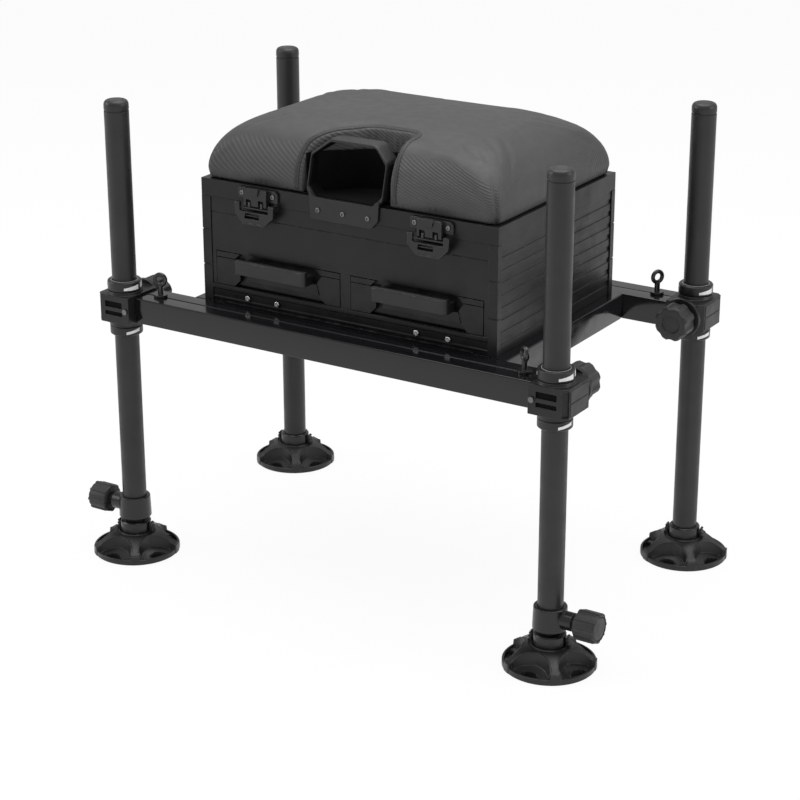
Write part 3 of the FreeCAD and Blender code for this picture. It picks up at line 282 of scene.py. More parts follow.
def make_leather_group() -> bpy.types.NodeTree:
    """Build the group for the cover: a fine grain, and slanting ridges on the upright faces, whose crests are
    painted paler as a painted sheen.

    Returns:
        A group that puts out a colour, a roughness and a height.
    """
    group, graph, start, end = new_group(
        "leatherette_cover",
        [("Colour", COLOR, (0.03, 0.03, 0.03, 1)), ("Ridges", FLOAT, 1.0), ("Pitch", FLOAT, 5.3)],
        [("Colour", COLOR), ("Roughness", FLOAT), ("Height", FLOAT)])
    places = graph.add("ShaderNodeTexCoord")
    where = places.outputs["Object"]
    pebble = graph.add("ShaderNodeTexVoronoi", {"Vector": where, "Scale": 620.0}, feature="F1")
    pores = graph.ramp(pebble.outputs["Distance"], 0.1, 0.62)
    soft = graph.noise(where, 240.0, 3.0)
    parts = graph.add("ShaderNodeSeparateXYZ", {0: places.outputs["Normal"]})
    spot = graph.add("ShaderNodeSeparateXYZ", {0: where})
    upright = graph.ramp(parts.outputs["Z"], 0.78, 0.5)
    beside = graph.math("GREATER_THAN", graph.math("ABSOLUTE", parts.outputs["X"]),
                        graph.math("ABSOLUTE", parts.outputs["Y"]))
    wander = graph.math("MULTIPLY", graph.noise(where, 22.0, 2.0), 0.0035)
    lean = graph.ramp(spot.outputs["X"], -0.24, 0.24, 0.5, 1.65, False)
    front_run = graph.math("SUBTRACT", spot.outputs["X"], graph.math("MULTIPLY", spot.outputs["Z"], lean))
    side_lean = graph.ramp(spot.outputs["Y"], -0.16, 0.10, 1.4, 0.25, False)
    side_run = graph.math("ADD", spot.outputs["Y"], graph.math("MULTIPLY", spot.outputs["Z"], side_lean))
    run = graph.add("ShaderNodeMix", {0: beside, 2: front_run, 3: side_run}, data_type="FLOAT").outputs[0]
    run = graph.math("ADD", run, wander)
    phase = graph.math("DIVIDE", graph.math("MULTIPLY", run, 2000.0 * math.pi), start.outputs["Pitch"])
    low = graph.ramp(spot.outputs["Z"], 0.6020, 0.6140)
    zone = graph.math("MULTIPLY", graph.math("MULTIPLY", upright, low), start.outputs["Ridges"])
    ridge = graph.math("MULTIPLY", graph.ramp(graph.math("SINE", phase), -0.4, 0.95), zone)
    height = graph.math("ADD", ridge, graph.math("MULTIPLY", pores, 0.10))
    height = graph.math("ADD", height, graph.math("MULTIPLY", soft, 0.12))
    # The ridge crests are mixed towards a paler grey: a painted sheen on the ridges, over their real bump.
    ridge_crest_painted_sheen = graph.mix(graph.math("MULTIPLY", ridge, 0.55), start.outputs["Colour"], (0.085, 0.085, 0.085, 1))
    blotch = graph.ramp(graph.noise(where, 11.0, 3.0), 0.3, 0.7, 0.93, 1.07)
    toned = graph.add("ShaderNodeVectorMath", {0: ridge_crest_painted_sheen, "Scale": blotch}, operation="SCALE")
    rough = graph.ramp(graph.noise(where, 60.0, 4.0), 0.3, 0.7, 0.50, 0.60)
    graph.tree.links.new(toned.outputs[0], end.inputs["Colour"])
    graph.tree.links.new(rough, end.inputs["Roughness"])
    graph.tree.links.new(height, end.inputs["Height"])
    return group


MADE: dict[str, bpy.types.Material] = {}


def start_material(name: str) -> tuple[bpy.types.Material, Graph, bpy.types.Node]:
    """Start a material of one shader.

    Args:
        name: The material's name.

    Returns:
        The material, its graph and its shader.
    """
    material = bpy.data.materials.new(name)
    MADE[name] = material
    material.use_nodes = True
    return material, Graph(material.node_tree), material.node_tree.nodes["Principled BSDF"]


def feed(graph: Graph, group: bpy.types.Node, shader: bpy.types.Node, strength: float, depth: float) -> None:
    """Feed a group's colour, roughness and height to a shader.

    Args:
        graph: The material's graph.
        group: The group's node.
        shader: The shader.
        strength: The bump's strength.
        depth: The bump's depth, in metres.
    """
    bump = graph.add("ShaderNodeBump", {"Height": group.outputs["Height"], "Strength": strength,
                                        "Distance": depth})
    graph.tree.links.new(group.outputs["Colour"], shader.inputs["Base Color"])
    graph.tree.links.new(group.outputs["Roughness"], shader.inputs["Roughness"])
    graph.tree.links.new(bump.outputs[0], shader.inputs["Normal"])


@dataclass(frozen=True)
class Finish:
    """A hard surface's look."""

    name: str
    colour: tuple[float, float, float]
    roughness: float = 0.4
    metallic: float = 0.0
    specular: float = 0.5
    coat: float = 0.0
    edge: float = 0.3
    mottle: float = 0.12
    grain: float = 900.0
    bump: float = 0.05
    depth: float = 0.0006
    coat_roughness: float = 0.12

    def material(self) -> bpy.types.Material:
        """Make the finish's material, or find the one made before.

        Returns:
            The material.
        """
        if self.name in MADE:
            return MADE[self.name]
        material, graph, shader = start_material(self.name)
        for label, value in (("Metallic", self.metallic), ("Specular IOR Level", self.specular),
                             ("Coat Weight", self.coat), ("Coat Roughness", self.coat_roughness)):
            shader.inputs[label].default_value = value
        group = graph.add("ShaderNodeGroup", {"Colour": (*self.colour, 1), "Roughness": self.roughness,
                                              "Edge": self.edge, "Mottle": self.mottle, "Grain": self.grain},
                          node_tree=GROUPS["wear"])
        feed(graph, group, shader, self.bump, self.depth)
        return material


@dataclass(frozen=True)
class CoverFinish:
    """The leatherette of the seat."""

    name: str = "seat_leatherette"
    colour: tuple[float, float, float] = (0.040, 0.040, 0.041)
    ridges: float = 1.0
    specular: float = 0.5
    bump: float = 0.55
    depth: float = 0.0007

    def material(self) -> bpy.types.Material:
        """Make the cover's material, or find the one made before.

        Returns:
            The material.
        """
        if self.name in MADE:
            return MADE[self.name]
        material, graph, shader = start_material(self.name)
        shader.inputs["Specular IOR Level"].default_value = self.specular
        group = graph.add("ShaderNodeGroup", {"Colour": (*self.colour, 1), "Ridges": self.ridges},
                          node_tree=GROUPS["leather"])
        feed(graph, group, shader, self.bump, self.depth)
        return material


GROUPS = {"wear": make_wear_group(), "leather": make_leather_group()}

RAIL = Finish("rail_gloss", (0.005, 0.005, 0.006), 0.16, 0.0, 0.36, 0.2, 0.12, 0.10, 700.0, 0.015)
TUBE = Finish("tube_satin", (0.020, 0.020, 0.021), 0.40, 0.0, 0.4, 0.0, 0.10, 0.06, 1400.0, 0.03)
CLAMP = Finish("clamp_satin", (0.010, 0.010, 0.011), 0.38, 0.0, 0.36, 0.0, 0.30)
RING = Finish("ring_satin", (0.014, 0.014, 0.015), 0.34, 0.0, 0.4, 0.0, 0.45)
MARK = Finish("ring_mark", (0.78, 0.78, 0.78), 0.5, 0.0, 0.4, 0.0, 0.0, 0.04)
KNOB = Finish("knob_matt", (0.022, 0.022, 0.023), 0.48, 0.0, 0.45, 0.0, 0.35)
SCREW = Finish("bright_steel", (0.62, 0.62, 0.62), 0.24, 1.0, 0.5, 0.0, 0.0, 0.05, 900.0, 0.02)
DARK_SCREW = Finish("screw_dark", (0.16, 0.16, 0.16), 0.22, 0.9, 0.5, 0.0, 0.6)
EYE = Finish("eye_gloss", (0.010, 0.010, 0.010), 0.26, 0.0, 0.5, 0.2, 0.3)
BOX = Finish("box_satin", (0.008, 0.008, 0.009), 0.34, 0.0, 0.30, 0.0, 0.35, 0.14, 800.0, 0.04)
BOX_DARK = Finish("box_rail", (0.004, 0.004, 0.005), 0.32, 0.0, 0.28, 0.0, 0.5, 0.14, 800.0, 0.04)
PULL = Finish("pull_satin", (0.013, 0.013, 0.014), 0.36, 0.0, 0.4, 0.0, 0.5, 0.10, 900.0, 0.04)
LINING = Finish("lining_matt", (0.012, 0.012, 0.013), 0.6, 0.0, 0.3)
BOARD = Finish("board_birch", (0.42, 0.31, 0.19), 0.6, 0.0, 0.4, 0.0, 0.2, 0.05, 300.0, 0.15)
LATCH = Finish("latch_satin", (0.009, 0.009, 0.010), 0.36, 0.0, 0.34, 0.0, 0.45)
LATCH_EDGE = Finish("latch_rubbed", (0.012, 0.012, 0.013), 0.36, 0.0, 0.40, 0.0, 0.8)
SPRING = Finish("spring_dark", (0.14, 0.14, 0.14), 0.25, 1.0, 0.5, 0.0, 0.0)
HANDLE = Finish("handle_grain", (0.012, 0.012, 0.013), 0.42, 0.0, 0.40, 0.0, 0.4, 0.08, 1300.0, 0.10)
FOOT = Finish("foot_satin", (0.010, 0.010, 0.011), 0.36, 0.0, 0.4, 0.0, 0.45)
CUP = Finish("cup_gloss", (0.010, 0.010, 0.011), 0.26, 0.0, 0.45, 0.0, 0.3)
# Pale grey for the wire at the clamp rings' inner edge: a painted highlight.
RING_HIGHLIGHT = Finish("ring_painted_highlight", (0.30, 0.30, 0.30), 0.4, 0.0, 0.5, 0.0, 0.0, 0.04)
THREAD = Finish("thread_grey", (0.045, 0.045, 0.045), 0.5, 0.0, 0.5, 0.0, 0.0, 0.2)
COVER = CoverFinish()
BAND = CoverFinish("leatherette_band", (0.022, 0.022, 0.023), 0.0)
# A near-black, dull sheet laid in the seat's notch, the handle's tunnel and the clamps' slots: painted shade
# in these hollows.
SHADE_SHEET = Finish("shade_sheet_black", (0.0025, 0.0025, 0.0025), 0.85, 0.0, 0.12, 0.0, 0.0, 0.2, 1500.0, 0.15)


# Mesh building


def new_object(name: str, verts: Iterable[Sequence[float]],
               faces: Iterable[Sequence[int]]) -> bpy.types.Object:
    """Make an object from vertices and faces.

    Args:
        name: The piece's name.
        verts: The vertices, in metres.
        faces: The faces, as vertex numbers.

    Returns:
        The linked object.
    """
    mesh = bpy.data.meshes.new(name)
    mesh.from_pydata([tuple(v) for v in verts], [], [tuple(f) for f in faces])
    mesh.validate()
    tidy = bmesh.new()
    tidy.from_mesh(mesh)
    bmesh.ops.recalc_face_normals(tidy, faces=tidy.faces)
    tidy.to_mesh(mesh)
    tidy.free()
    obj = bpy.data.objects.new(name, mesh)
    bpy.context.scene.collection.objects.link(obj)
    return obj


def apply_modifiers(obj: bpy.types.Object) -> bpy.types.Object:
    """Make an object's modifiers part of its mesh.

    Args:
        obj: The object.

    Returns:
        The same object.
    """
    graph = bpy.context.evaluated_depsgraph_get()
    mesh = bpy.data.meshes.new_from_object(obj.evaluated_get(graph))
    obj.modifiers.clear()
    old = obj.data
    obj.data = mesh
    bpy.data.meshes.remove(old)
    return obj


def rounded(points: Sequence[Flat], radius: "float | Sequence[float]", steps: int = 4) -> list[Flat]:
    """Round the corners of a flat outline.

    Args:
        points: The outline's corners.
        radius: One radius for all of them, or one each.
        steps: The steps round each corner.

    Returns:
        The rounded outline.
    """
    radii = list(radius) if isinstance(radius, (list, tuple)) else [radius] * len(points)
    outline: list[Flat] = []
    for index, (point, reach) in enumerate(zip(points, radii)):
        here = Vector(point)
        before = Vector(points[index - 1]) - here
        after = Vector(points[(index + 1) % len(points)]) - here
        angle = before.angle(after)
        if reach <= 0 or angle > 3.1:
            outline.append(tuple(here))
            continue
        cut = min(reach / math.tan(angle / 2), 0.49 * min(before.length, after.length))
        start = here + before.normalized() * cut
        end = here + after.normalized() * cut
        for step in range(steps + 1):
            share = step / steps
            outline.append(tuple(start.lerp(here, share).lerp(here.lerp(end, share), share)))
    return outline


def middle_of(node: str) -> Vector:
    """Find the middle of a CAD node's box.

    Args:
        node: The node's name.

    Returns:
        The middle, in millimetres.
    """
    low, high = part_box(node)
    return (low + high) / 2 / MM


def net(name: str, rows: Sequence[Sequence[Vector]], closed: bool = False) -> bpy.types.Object:
    """Join rows of points, each of them a ring, into a closed solid.

    Args:
        name: The piece's name.
        rows: The rows, in metres, with as many points each.
        closed: Whether the last row joins the first; otherwise both ends get a face.

    Returns:
        The closed solid.
    """
    count = len(rows[0])
    size = count * len(rows)
    faces: list[tuple[int, ...]] = []
    for level in range(len(rows) if closed else len(rows) - 1):
        low, high = level * count, (level + 1) * count % size
        for step in range(count):
            after = (step + 1) % count
            faces.append((low + step, low + after, high + after, high + step))
    if not closed:
        faces += [tuple(range(count)), tuple(range(size - count, size))]
    return new_object(name, [spot for row in rows for spot in row], faces)


def wire(radius: float, wide: float, tall: float, steps: int = 8) -> list[Flat]:
    """Make a ring's round section, for a closed lathe.

    Args:
        radius: The ring's radius.
        wide: Half the section's width.
        tall: Half its height.
        steps: The points round it.

    Returns:
        The section.
    """
    turns = [2 * math.pi * step / steps for step in range(steps)]
    return [(radius + wide * math.cos(turn), tall * math.sin(turn)) for turn in turns]


AXES: dict[str, Callable[[float, float, float], Point]] = {
    "X": lambda u, v, t: (t, u, v),
    "Y": lambda u, v, t: (u, t, v),
    "Z": lambda u, v, t: (u, v, t),
}


def prism(name: str, outline: Sequence[Flat], low: float, high: float, axis: str = "Y") -> bpy.types.Object:
    """Draw a flat outline out along an axis. Sizes in millimetres.

    Args:
        name: The piece's name.
        outline: The outline: (y, z) along X, (x, z) along Y, or (x, y) along Z.
        low: Where it starts on the axis.
        high: Where it ends.
        axis: The axis's letter.

    Returns:
        The closed solid.
    """
    return net(name, [[Vector(AXES[axis](u, v, t)) * MM for u, v in outline] for t in (low, high)])


def block(name: str, low: Point, high: Point) -> bpy.types.Object:
    """Make a plain cutter or filler block. Sizes in millimetres.

    Args:
        name: The block's name.
        low: Its lowest corner.
        high: Its highest corner.

    Returns:
        The closed solid.
    """
    outline = [(low[0], low[2]), (high[0], low[2]), (high[0], high[2]), (low[0], high[2])]
    return prism(name, outline, low[1], high[1])


def lathe(name: str, profile: Sequence[Flat], middle: Point, axis: Point, steps: int = 32,
          closed: bool = False, shape: Optional[Callable[[float], float]] = None) -> bpy.types.Object:
    """Turn a profile round an axis. Sizes in millimetres.

    Args:
        name: The piece's name.
        profile: Its points, as (radius, distance along the axis).
        middle: The profile's zero point.
        axis: The axis's direction.
        steps: The steps round the axis.
        closed: Whether the profile closes on itself, as in a ring.
        shape: The share of the radius at an angle, for lobes and flutes.

    Returns:
        The closed solid.
    """
    turn = Vector(axis).to_track_quat("Z", "Y")
    rows = []
    for radius, along in profile:
        row = []
        for step in range(steps):
            angle = 2 * math.pi * step / steps
            reach = radius * (shape(angle) if shape else 1.0)
            spot = Vector((reach * math.cos(angle), reach * math.sin(angle), along))
            row.append((turn @ spot + Vector(middle)) * MM)
        rows.append(row)
    return net(name, rows, closed)


def carve(obj: bpy.types.Object, *tools: bpy.types.Object, operation: str = "DIFFERENCE") -> bpy.types.Object:
    """Cut tools out of an object, or add them to it.

    Args:
        obj: The object.
        *tools: The cutters, which are used up.
        operation: The boolean's name.

    Returns:
        The same object.
    """
    for tool in tools:
        cut = obj.modifiers.new("carve", "BOOLEAN")
        cut.operation = operation
        cut.solver = "EXACT"
        cut.object = tool
    apply_modifiers(obj)
    for tool in tools:
        bpy.data.objects.remove(tool)
    return obj


def join(name: str, *parts: bpy.types.Object) -> bpy.types.Object:
    """Put several meshes into one object.

    Args:
        name: The joined piece's name.
        *parts: The meshes, which are used up.

    Returns:
        The joined object.
    """
    whole = bmesh.new()
    for part in parts:
        whole.from_mesh(part.data)
        bpy.data.objects.remove(part)
    mesh = bpy.data.meshes.new(name)
    whole.to_mesh(mesh)
    whole.free()
    obj = bpy.data.objects.new(name, mesh)
    bpy.context.scene.collection.objects.link(obj)
    return obj


def socket_screw(name: str, middle: Point, axis: Point, radius: float,
                 depth: float = 2.0) -> bpy.types.Object:
    """Make a screw head with a hexagon socket.

    Args:
        name: The screw's name.
        middle: The middle of the head's top.
        axis: The direction out of the head.
        radius: The head's radius.
        depth: The head's height.

    Returns:
        The screw head.
    """
    rim = 0.16 * radius
    profile = [(radius, -depth), (radius, -rim), (radius - rim, 0), (0.62 * radius, 0)]
    head = lathe(name, profile, middle, axis, 28)
    socket = lathe("socket", [(0.48 * radius, -0.7 * depth), (0.48 * radius, 1.0)], middle, axis, 6)
    return carve(head, socket)


def front_screws(places: Iterable[Point], radius: float, depth: float) -> list[bpy.types.Object]:
    """Make socket screws whose heads face the front.

    Args:
        places: The middles of the heads' tops.
        radius: The heads' radius.
        depth: The heads' height.

    Returns:
        The screw heads.
    """
    return [socket_screw("screw", place, (0, -1, 0), radius, depth) for place in places]


def soften(obj: bpy.types.Object, width: float, segments: int = 2, angle: float = 30.0) -> bpy.types.Object:
    """Round an object's sharp edges and shade it smooth.

    Args:
        obj: The object.
        width: The bevel's width, in millimetres.
        segments: The bevel's steps.
        angle: The least angle between faces that counts as an edge, in degrees.

    Returns:
        The same object.
    """
    bevel = obj.modifiers.new("edges", "BEVEL")
    bevel.width = width * MM
    bevel.segments = segments
    bevel.limit_method = "ANGLE"
    bevel.angle_limit = math.radians(angle)
    bevel.use_clamp_overlap = False
    bevel.harden_normals = False
    bevel.show_viewport = False
    for face in obj.data.polygons:
        face.use_smooth = True
    weighted = obj.modifiers.new("normals", "WEIGHTED_NORMAL")
    weighted.keep_sharp = True
    weighted.weight = 80
    weighted.show_viewport = False
    return obj


def paint(obj: bpy.types.Object, finish: "Finish | CoverFinish") -> bpy.types.Object:
    """Give an object one material.

    Args:
        obj: The object.
        finish: The finish that makes the material.

    Returns:
        The same object.
    """
    obj.data.materials.clear()
    obj.data.materials.append(finish.material())
    return obj


def dress(name: str, finish: Finish, width: float = 0.6, segments: int = 2) -> None:
    """Give a CAD node a material and softened edges.

    Args:
        name: The node's name.
        finish: The node's finish.
        width: The bevel's width, in millimetres.
        segments: The bevel's steps.
    """
    obj = frame["nodes"][name]
    custom = obj.data.attributes.get("custom_normal")
    if custom is not None:
        obj.data.attributes.remove(custom)
    paint(obj, finish)
    weld = obj.modifiers.new("weld", "WELD")
    weld.merge_threshold = 0.00001
    weld.show_viewport = False
    if width > 0:
        soften(obj, width, segments)


def settle(piece: bpy.types.Object, body: str, slot: str, *nodes: str) -> bpy.types.Object:
    """Fix a piece to its body, in place of CAD nodes where it stands for them.

    Args:
        piece: The piece.
        body: The body that it rides on.
        slot: The record's material slot; not used.
        *nodes: The CAD nodes that it replaces.

    Returns:
        The same piece.
    """
    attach(piece, body)
    if nodes:
        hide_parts(*nodes)
    LOG.info("%s rides on %s", piece.name, body)
    return piece


def finish_piece(piece: bpy.types.Object, look: "Finish | CoverFinish", body: str, slot: str, width: float,
                 *nodes: str) -> bpy.types.Object:
    """Paint a hard piece, soften its edges and settle it.

    Args:
        piece: The piece.
        look: Its finish.
        body: The body that it rides on.
        slot: The record's material slot.
        width: The softened edges' width, in millimetres.
        *nodes: The CAD nodes that it replaces.

    Returns:
        The same piece.
    """
    paint(piece, look)
    if width > 0:
        soften(piece, width)
    return settle(piece, body, slot, *nodes)


def wake_modifiers() -> None:
    """Turn on the modifiers that were kept asleep while the pieces were cut."""
    for obj in bpy.data.objects:
        for modifier in obj.modifiers:
            modifier.show_viewport = True


# The seat


def rounded_ring(half_x: float, half_y: float, radius: float, height: float, steps: int = 8,
                 side_steps: int = 24) -> list[Vector]:
    """A level ring of points round a rectangle with round corners.

    Args:
        half_x: Half the ring's length.
        half_y: Half its depth.
        radius: Its corner radius.
        height: Its height.
        steps: The steps round each corner.
        side_steps: The steps along each side.

    Returns:
        The points, the same number for every ring.
    """
    points: list[Vector] = []
    corners = ((1, 1, 0), (-1, 1, 90), (-1, -1, 180), (1, -1, 270))
    arcs = []
    for sign_x, sign_y, start in corners:
        middle = Vector((sign_x * (half_x - radius), sign_y * (half_y - radius), height))
        arc = []
        for step in range(steps + 1):
            turn = math.radians(start + 90 * step / steps)
            arc.append(middle + Vector((math.cos(turn), math.sin(turn), 0)) * radius)
        arcs.append(arc)
    for index, arc in enumerate(arcs):
        points.extend(arc)
        after = arcs[(index + 1) % 4][0]
        for step in range(1, side_steps):
            points.append(arc[-1].lerp(after, step / side_steps))
    return points


@dataclass
class SeatCushion:
    """The padded seat, with a notch for the carry handle and a stitched band round it, in millimetres."""

    roll_x: float = 85.0
    roll_y: float = 66.0
    power: float = 2.5
    corner: float = 13.0
    crown_corner: float = 62.0
    crown: float = 5.0
    waist: float = 3.0
    notch: Sequence[Flat] = ((-74, -190), (-70, -152), (-6, -90), (67, -90), (69, -152), (73, -190))
    notch_radii: Sequence[float] = (0, 24, 34, 7, 18, 0)
    voxel: float = 4.5
    pressure: float = 3.0
    swell: float = 3.0
    firm_swell: float = 0.7
    firm_reach: float = 9.0
    frames: int = 14
    levels: int = 18
    rim_reach: float = 9.0
    rim_passes: int = 7
    band_offset: float = 7.5
    band_half: float = 4.2
    stitch_pitch: float = 4.6
    notch_reach: float = 100.0
    notch_back: float = -60.0
    fold_reach: float = 9.0
    fold_top: float = 62.0
    fold_depth: float = 3.4
    fold_width: float = 2.6
    pleat_period: float = 9.0
    pleat_depth: float = 1.1
    pleat_top: float = 82.0
    gather_height: float = 6.0
    gather_reach: float = 7.0
    gather_depth: float = 0.55
    lining_top: float = 650.0
    lining_middle: Flat = (2.0, -152.0)
    lining_shares: Sequence[Flat] = ((0.965, 0.955), (0.945, 0.925))

    def build(self) -> None:
        """Build the seat's pieces and settle them on the lid."""
        low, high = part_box("seat_cushion")
        self.base, self.top = low.z / MM, high.z / MM
        self.half_x, self.half_y = high.x / MM - 0.5, high.y / MM - 0.5
        self.outline = rounded(self.notch, self.notch_radii, 6)
        body = self.padding()
        body = self.inflate(body)
        self.sculpt(body)
        paint(body, COVER)
        settle(body, "lid", "leatherette", "seat_cushion")
        self.trim(body)
        self.liner()

    def padding(self) -> bpy.types.Object:
        """Build the crowned block with its notch cut out and an even mesh.

        Returns:
            The closed mesh.
        """
        tall = self.top - self.crown - self.base
        rings = []
        for level in range(self.levels + 1):
            angle = math.radians(90 * level / self.levels)
            rise = math.sin(angle) ** (2 / self.power)
            roll = 1 - math.cos(angle) ** (2 / self.power)
            waist = self.waist * max(0.0, 1 - rise / 0.14) ** 2
            rings.append(rounded_ring(self.half_x - roll * self.roll_x - waist,
                                      self.half_y - roll * self.roll_y - waist,
                                      self.corner + (self.crown_corner - self.corner) * rise ** 2,
                                      self.base + rise * tall))
        for share in (0.75, 0.5, 0.25, 0.06):
            crown = self.crown * (1 - share ** 2)
            rings.append(rounded_ring((self.half_x - self.roll_x) * share,
                                      (self.half_y - self.roll_y) * share,
                                      self.crown_corner * share, self.base + tall + crown))
        body = net("seat_cushion_padding", [[point * MM for point in ring] for ring in rings])
        carve(body, prism("notch_cutter", self.outline, self.base - 5, self.top + 20, "Z"))
        remesh = body.modifiers.new("even", "REMESH")
        remesh.mode = "VOXEL"
        remesh.voxel_size = self.voxel * MM
        return apply_modifiers(body)

    def inflate(self, body: bpy.types.Object) -> bpy.types.Object:
        """Swell the cover a little with a cloth simulation, and hold it to a small movement.

        Args:
            body: The remeshed seat.

        Returns:
            The same object.
        """
        rest = [vertex.co.copy() for vertex in body.data.vertices]
        held = body.vertex_groups.new(name="held")
        held.add([i for i, co in enumerate(rest) if co.z < (self.base + 3.0) * MM], 1.0, "REPLACE")
        cloth = body.modifiers.new("cover", "CLOTH")
        cloth.settings.use_pressure = True
        cloth.settings.uniform_pressure_force = self.pressure
        cloth.settings.vertex_group_mass = "held"
        cloth.settings.effector_weights.gravity = 0.0
        cloth.settings.tension_stiffness = 30
        cloth.settings.bending_stiffness = 2.0
        cloth.point_cache.frame_start = 1
        cloth.point_cache.frame_end = self.frames
        scene = bpy.context.scene
        for step in range(1, self.frames + 1):
            scene.frame_set(step)
        apply_modifiers(body)
        scene.frame_set(1)
        for start, vertex in zip(rest, body.data.vertices):
            move = vertex.co - start
            spot = start / MM
            near = self.beside_notch(spot) and abs(self.rim_distance(spot)) < self.firm_reach
            limit = (self.firm_swell if near else self.swell) * MM
            if move.length > limit:
                vertex.co = start + move * (limit / move.length)
        return body

    def beside_notch(self, spot: Vector) -> bool:
        """Tell whether a point, in millimetres, lies in the front stretch that holds the notch."""
        return abs(spot.x) < self.notch_reach and spot.y < self.notch_back

    def rim_distance(self, spot: Vector) -> float:
        """Measure how far a point lies from the notch's wall, seen from above.

        Args:
            spot: The point, in millimetres.

        Returns:
            The distance in millimetres, below zero inside the notch.
        """
        best = 1e9
        inside = False
        here = Vector((spot.x, spot.y))
        for index in range(len(self.outline)):
            start = Vector(self.outline[index])
            end = Vector(self.outline[(index + 1) % len(self.outline)])
            along = end - start
            share = max(0.0, min(1.0, (here - start).dot(along) / along.length_squared))
            best = min(best, (here - start - along * share).length)
            if (start.y > here.y) != (end.y > here.y):
                cross = start.x + (here.y - start.y) / (end.y - start.y) * (end.x - start.x)
                inside = inside != (here.x < cross)
        return -best if inside else best

    def sculpt(self, body: bpy.types.Object) -> None:
        """Round the notch's rim, crease the corners, gather the back wall and smooth the mesh.

        Args:
            body: The seat.
        """
        rim = body.vertex_groups.new(name="rim")
        for vertex in body.data.vertices:
            spot = vertex.co / MM
            if not self.beside_notch(spot) or spot.z < self.base + 4:
                continue
            reach = abs(self.rim_distance(spot))
            rim.add([vertex.index], max(0.0, 1 - reach / self.rim_reach), "REPLACE")
        smooth = body.modifiers.new("rim", "SMOOTH")
        smooth.vertex_group = "rim"
        smooth.iterations = self.rim_passes
        smooth.factor = 0.6
        divide = body.modifiers.new("smooth", "SUBSURF")
        divide.levels = 1
        divide.render_levels = 1
        apply_modifiers(body)
        body.data.update()
        normals = [vertex.normal.copy() for vertex in body.data.vertices]
        for vertex, normal in zip(body.data.vertices, normals):
            spot = vertex.co / MM
            height = spot.z - self.base
            side_x, side_y = self.half_x - abs(spot.x), self.half_y - abs(spot.y)
            fold = abs(side_x - side_y) / math.sqrt(2)
            if fold < self.fold_reach and 1 < height < self.fold_top and side_x < 60:
                depth = self.fold_depth * math.exp(-(fold / self.fold_width) ** 2)
                depth *= min(1.0, (self.fold_top - height) / 34)
                inward = Vector((-math.copysign(1, spot.x), -math.copysign(1, spot.y), -0.35)).normalized()
                spot += inward * depth
            if -96 < spot.y < -84 and abs(spot.x) < 66 and 8 < height < self.pleat_top:
                wave = math.sin(2 * math.pi * (spot.x + 0.12 * spot.z) / self.pleat_period)
                wave = self.pleat_depth * wave + 0.6 * math.sin(spot.x * 0.31)
                spot.y += wave * min(1.0, (self.pleat_top - height) / 10)
            gather = max(0.0, 1 - abs(height - self.gather_height) / self.gather_reach)
            if gather > 0 and normal.z < 0.7:
                run = spot.x if side_y < side_x else spot.y
                ripple = 1 + math.sin(run * 0.83 + 1.7 * math.sin(run * 0.11))
                spot -= normal * gather * self.gather_depth * ripple
            spot.z = max(spot.z, self.base)
            vertex.co = spot * MM
        for face in body.data.polygons:
            face.use_smooth = True

    def rim_path(self, tree: BVHTree) -> list[tuple[Vector, Vector]]:
        """Follow the notch's rim over the seat's surface.

        Args:
            tree: The seat's surface.

        Returns:
            The path's points and the surface's normals there, in metres.
        """
        plan = [Vector((x, y)) for x, y in self.outline[1:-1]]
        path: list[tuple[Vector, Vector]] = []
        wide = []
        for index, point in enumerate(plan):
            along = plan[min(index + 1, len(plan) - 1)] - plan[max(index - 1, 0)]
            outward = Vector((-along.y, along.x)).normalized()
            wide.append(point + outward * self.band_offset)
        left, right = wide[0], wide[-1]
        turn_y = -self.half_y + self.roll_y + 2
        for step in range(25):
            self.cast(path, tree, left.x - 3 + 3 * step / 24, turn_y, 90 * step / 24, left.y)
        for here, after in zip(wide, wide[1:]):
            steps = max(1, round((after - here).length / 3.0))
            for step in range(steps):
                spot = here.lerp(after, step / steps)
                hit = tree.ray_cast(Vector((spot.x, spot.y, self.top + 60)) * MM, Vector((0, 0, -1)))
                if hit[0] is not None and spot.y > left.y:
                    path.append((hit[0], hit[1]))
        for step in range(24, -1, -1):
            self.cast(path, tree, right.x + 3 - 3 * step / 24, turn_y, 90 * step / 24, right.y)
        return self.even(path, 2.0)

    def cast(self, path: list[tuple[Vector, Vector]], tree: BVHTree, x: float, middle: float, angle: float,
             end: float) -> None:
        """Find the front roll's surface at an angle, and add it to a path.

        Args:
            path: The path so far.
            tree: The seat's surface.
            x: Where to look, in millimetres.
            middle: The roll's middle on the Y axis.
            angle: The angle above the level, in degrees.
            end: The last Y at which the roll is wanted.
        """
        lean = Vector((0, -math.cos(math.radians(angle)), math.sin(math.radians(angle))))
        start = Vector((x, middle, self.base + 6)) + lean * 200
        hit = tree.ray_cast(start * MM, -lean)
        if hit[0] is not None and hit[0].y < end * MM:
            path.append((hit[0], hit[1]))

    @staticmethod
    def even(path: list[tuple[Vector, Vector]], pitch: float) -> list[tuple[Vector, Vector]]:
        """Space a path's points evenly, after easing its corners.

        Args:
            path: Points and normals.
            pitch: The spacing in millimetres.

        Returns:
            The evenly spaced path.
        """
        for _ in range(3):
            path = [path[0]] + [((a[0] + b[0] * 2 + c[0]) / 4, (a[1] + b[1] * 2 + c[1]).normalized())
                                for a, b, c in zip(path, path[1:], path[2:])] + [path[-1]]
        spaced = [path[0]]
        for here, after in zip(path, path[1:]):
            length = (after[0] - here[0]).length
            while (after[0] - spaced[-1][0]).length > pitch * MM and length > 0:
                move = (after[0] - spaced[-1][0]).normalized() * pitch * MM
                spaced.append((spaced[-1][0] + move, after[1]))
        return spaced

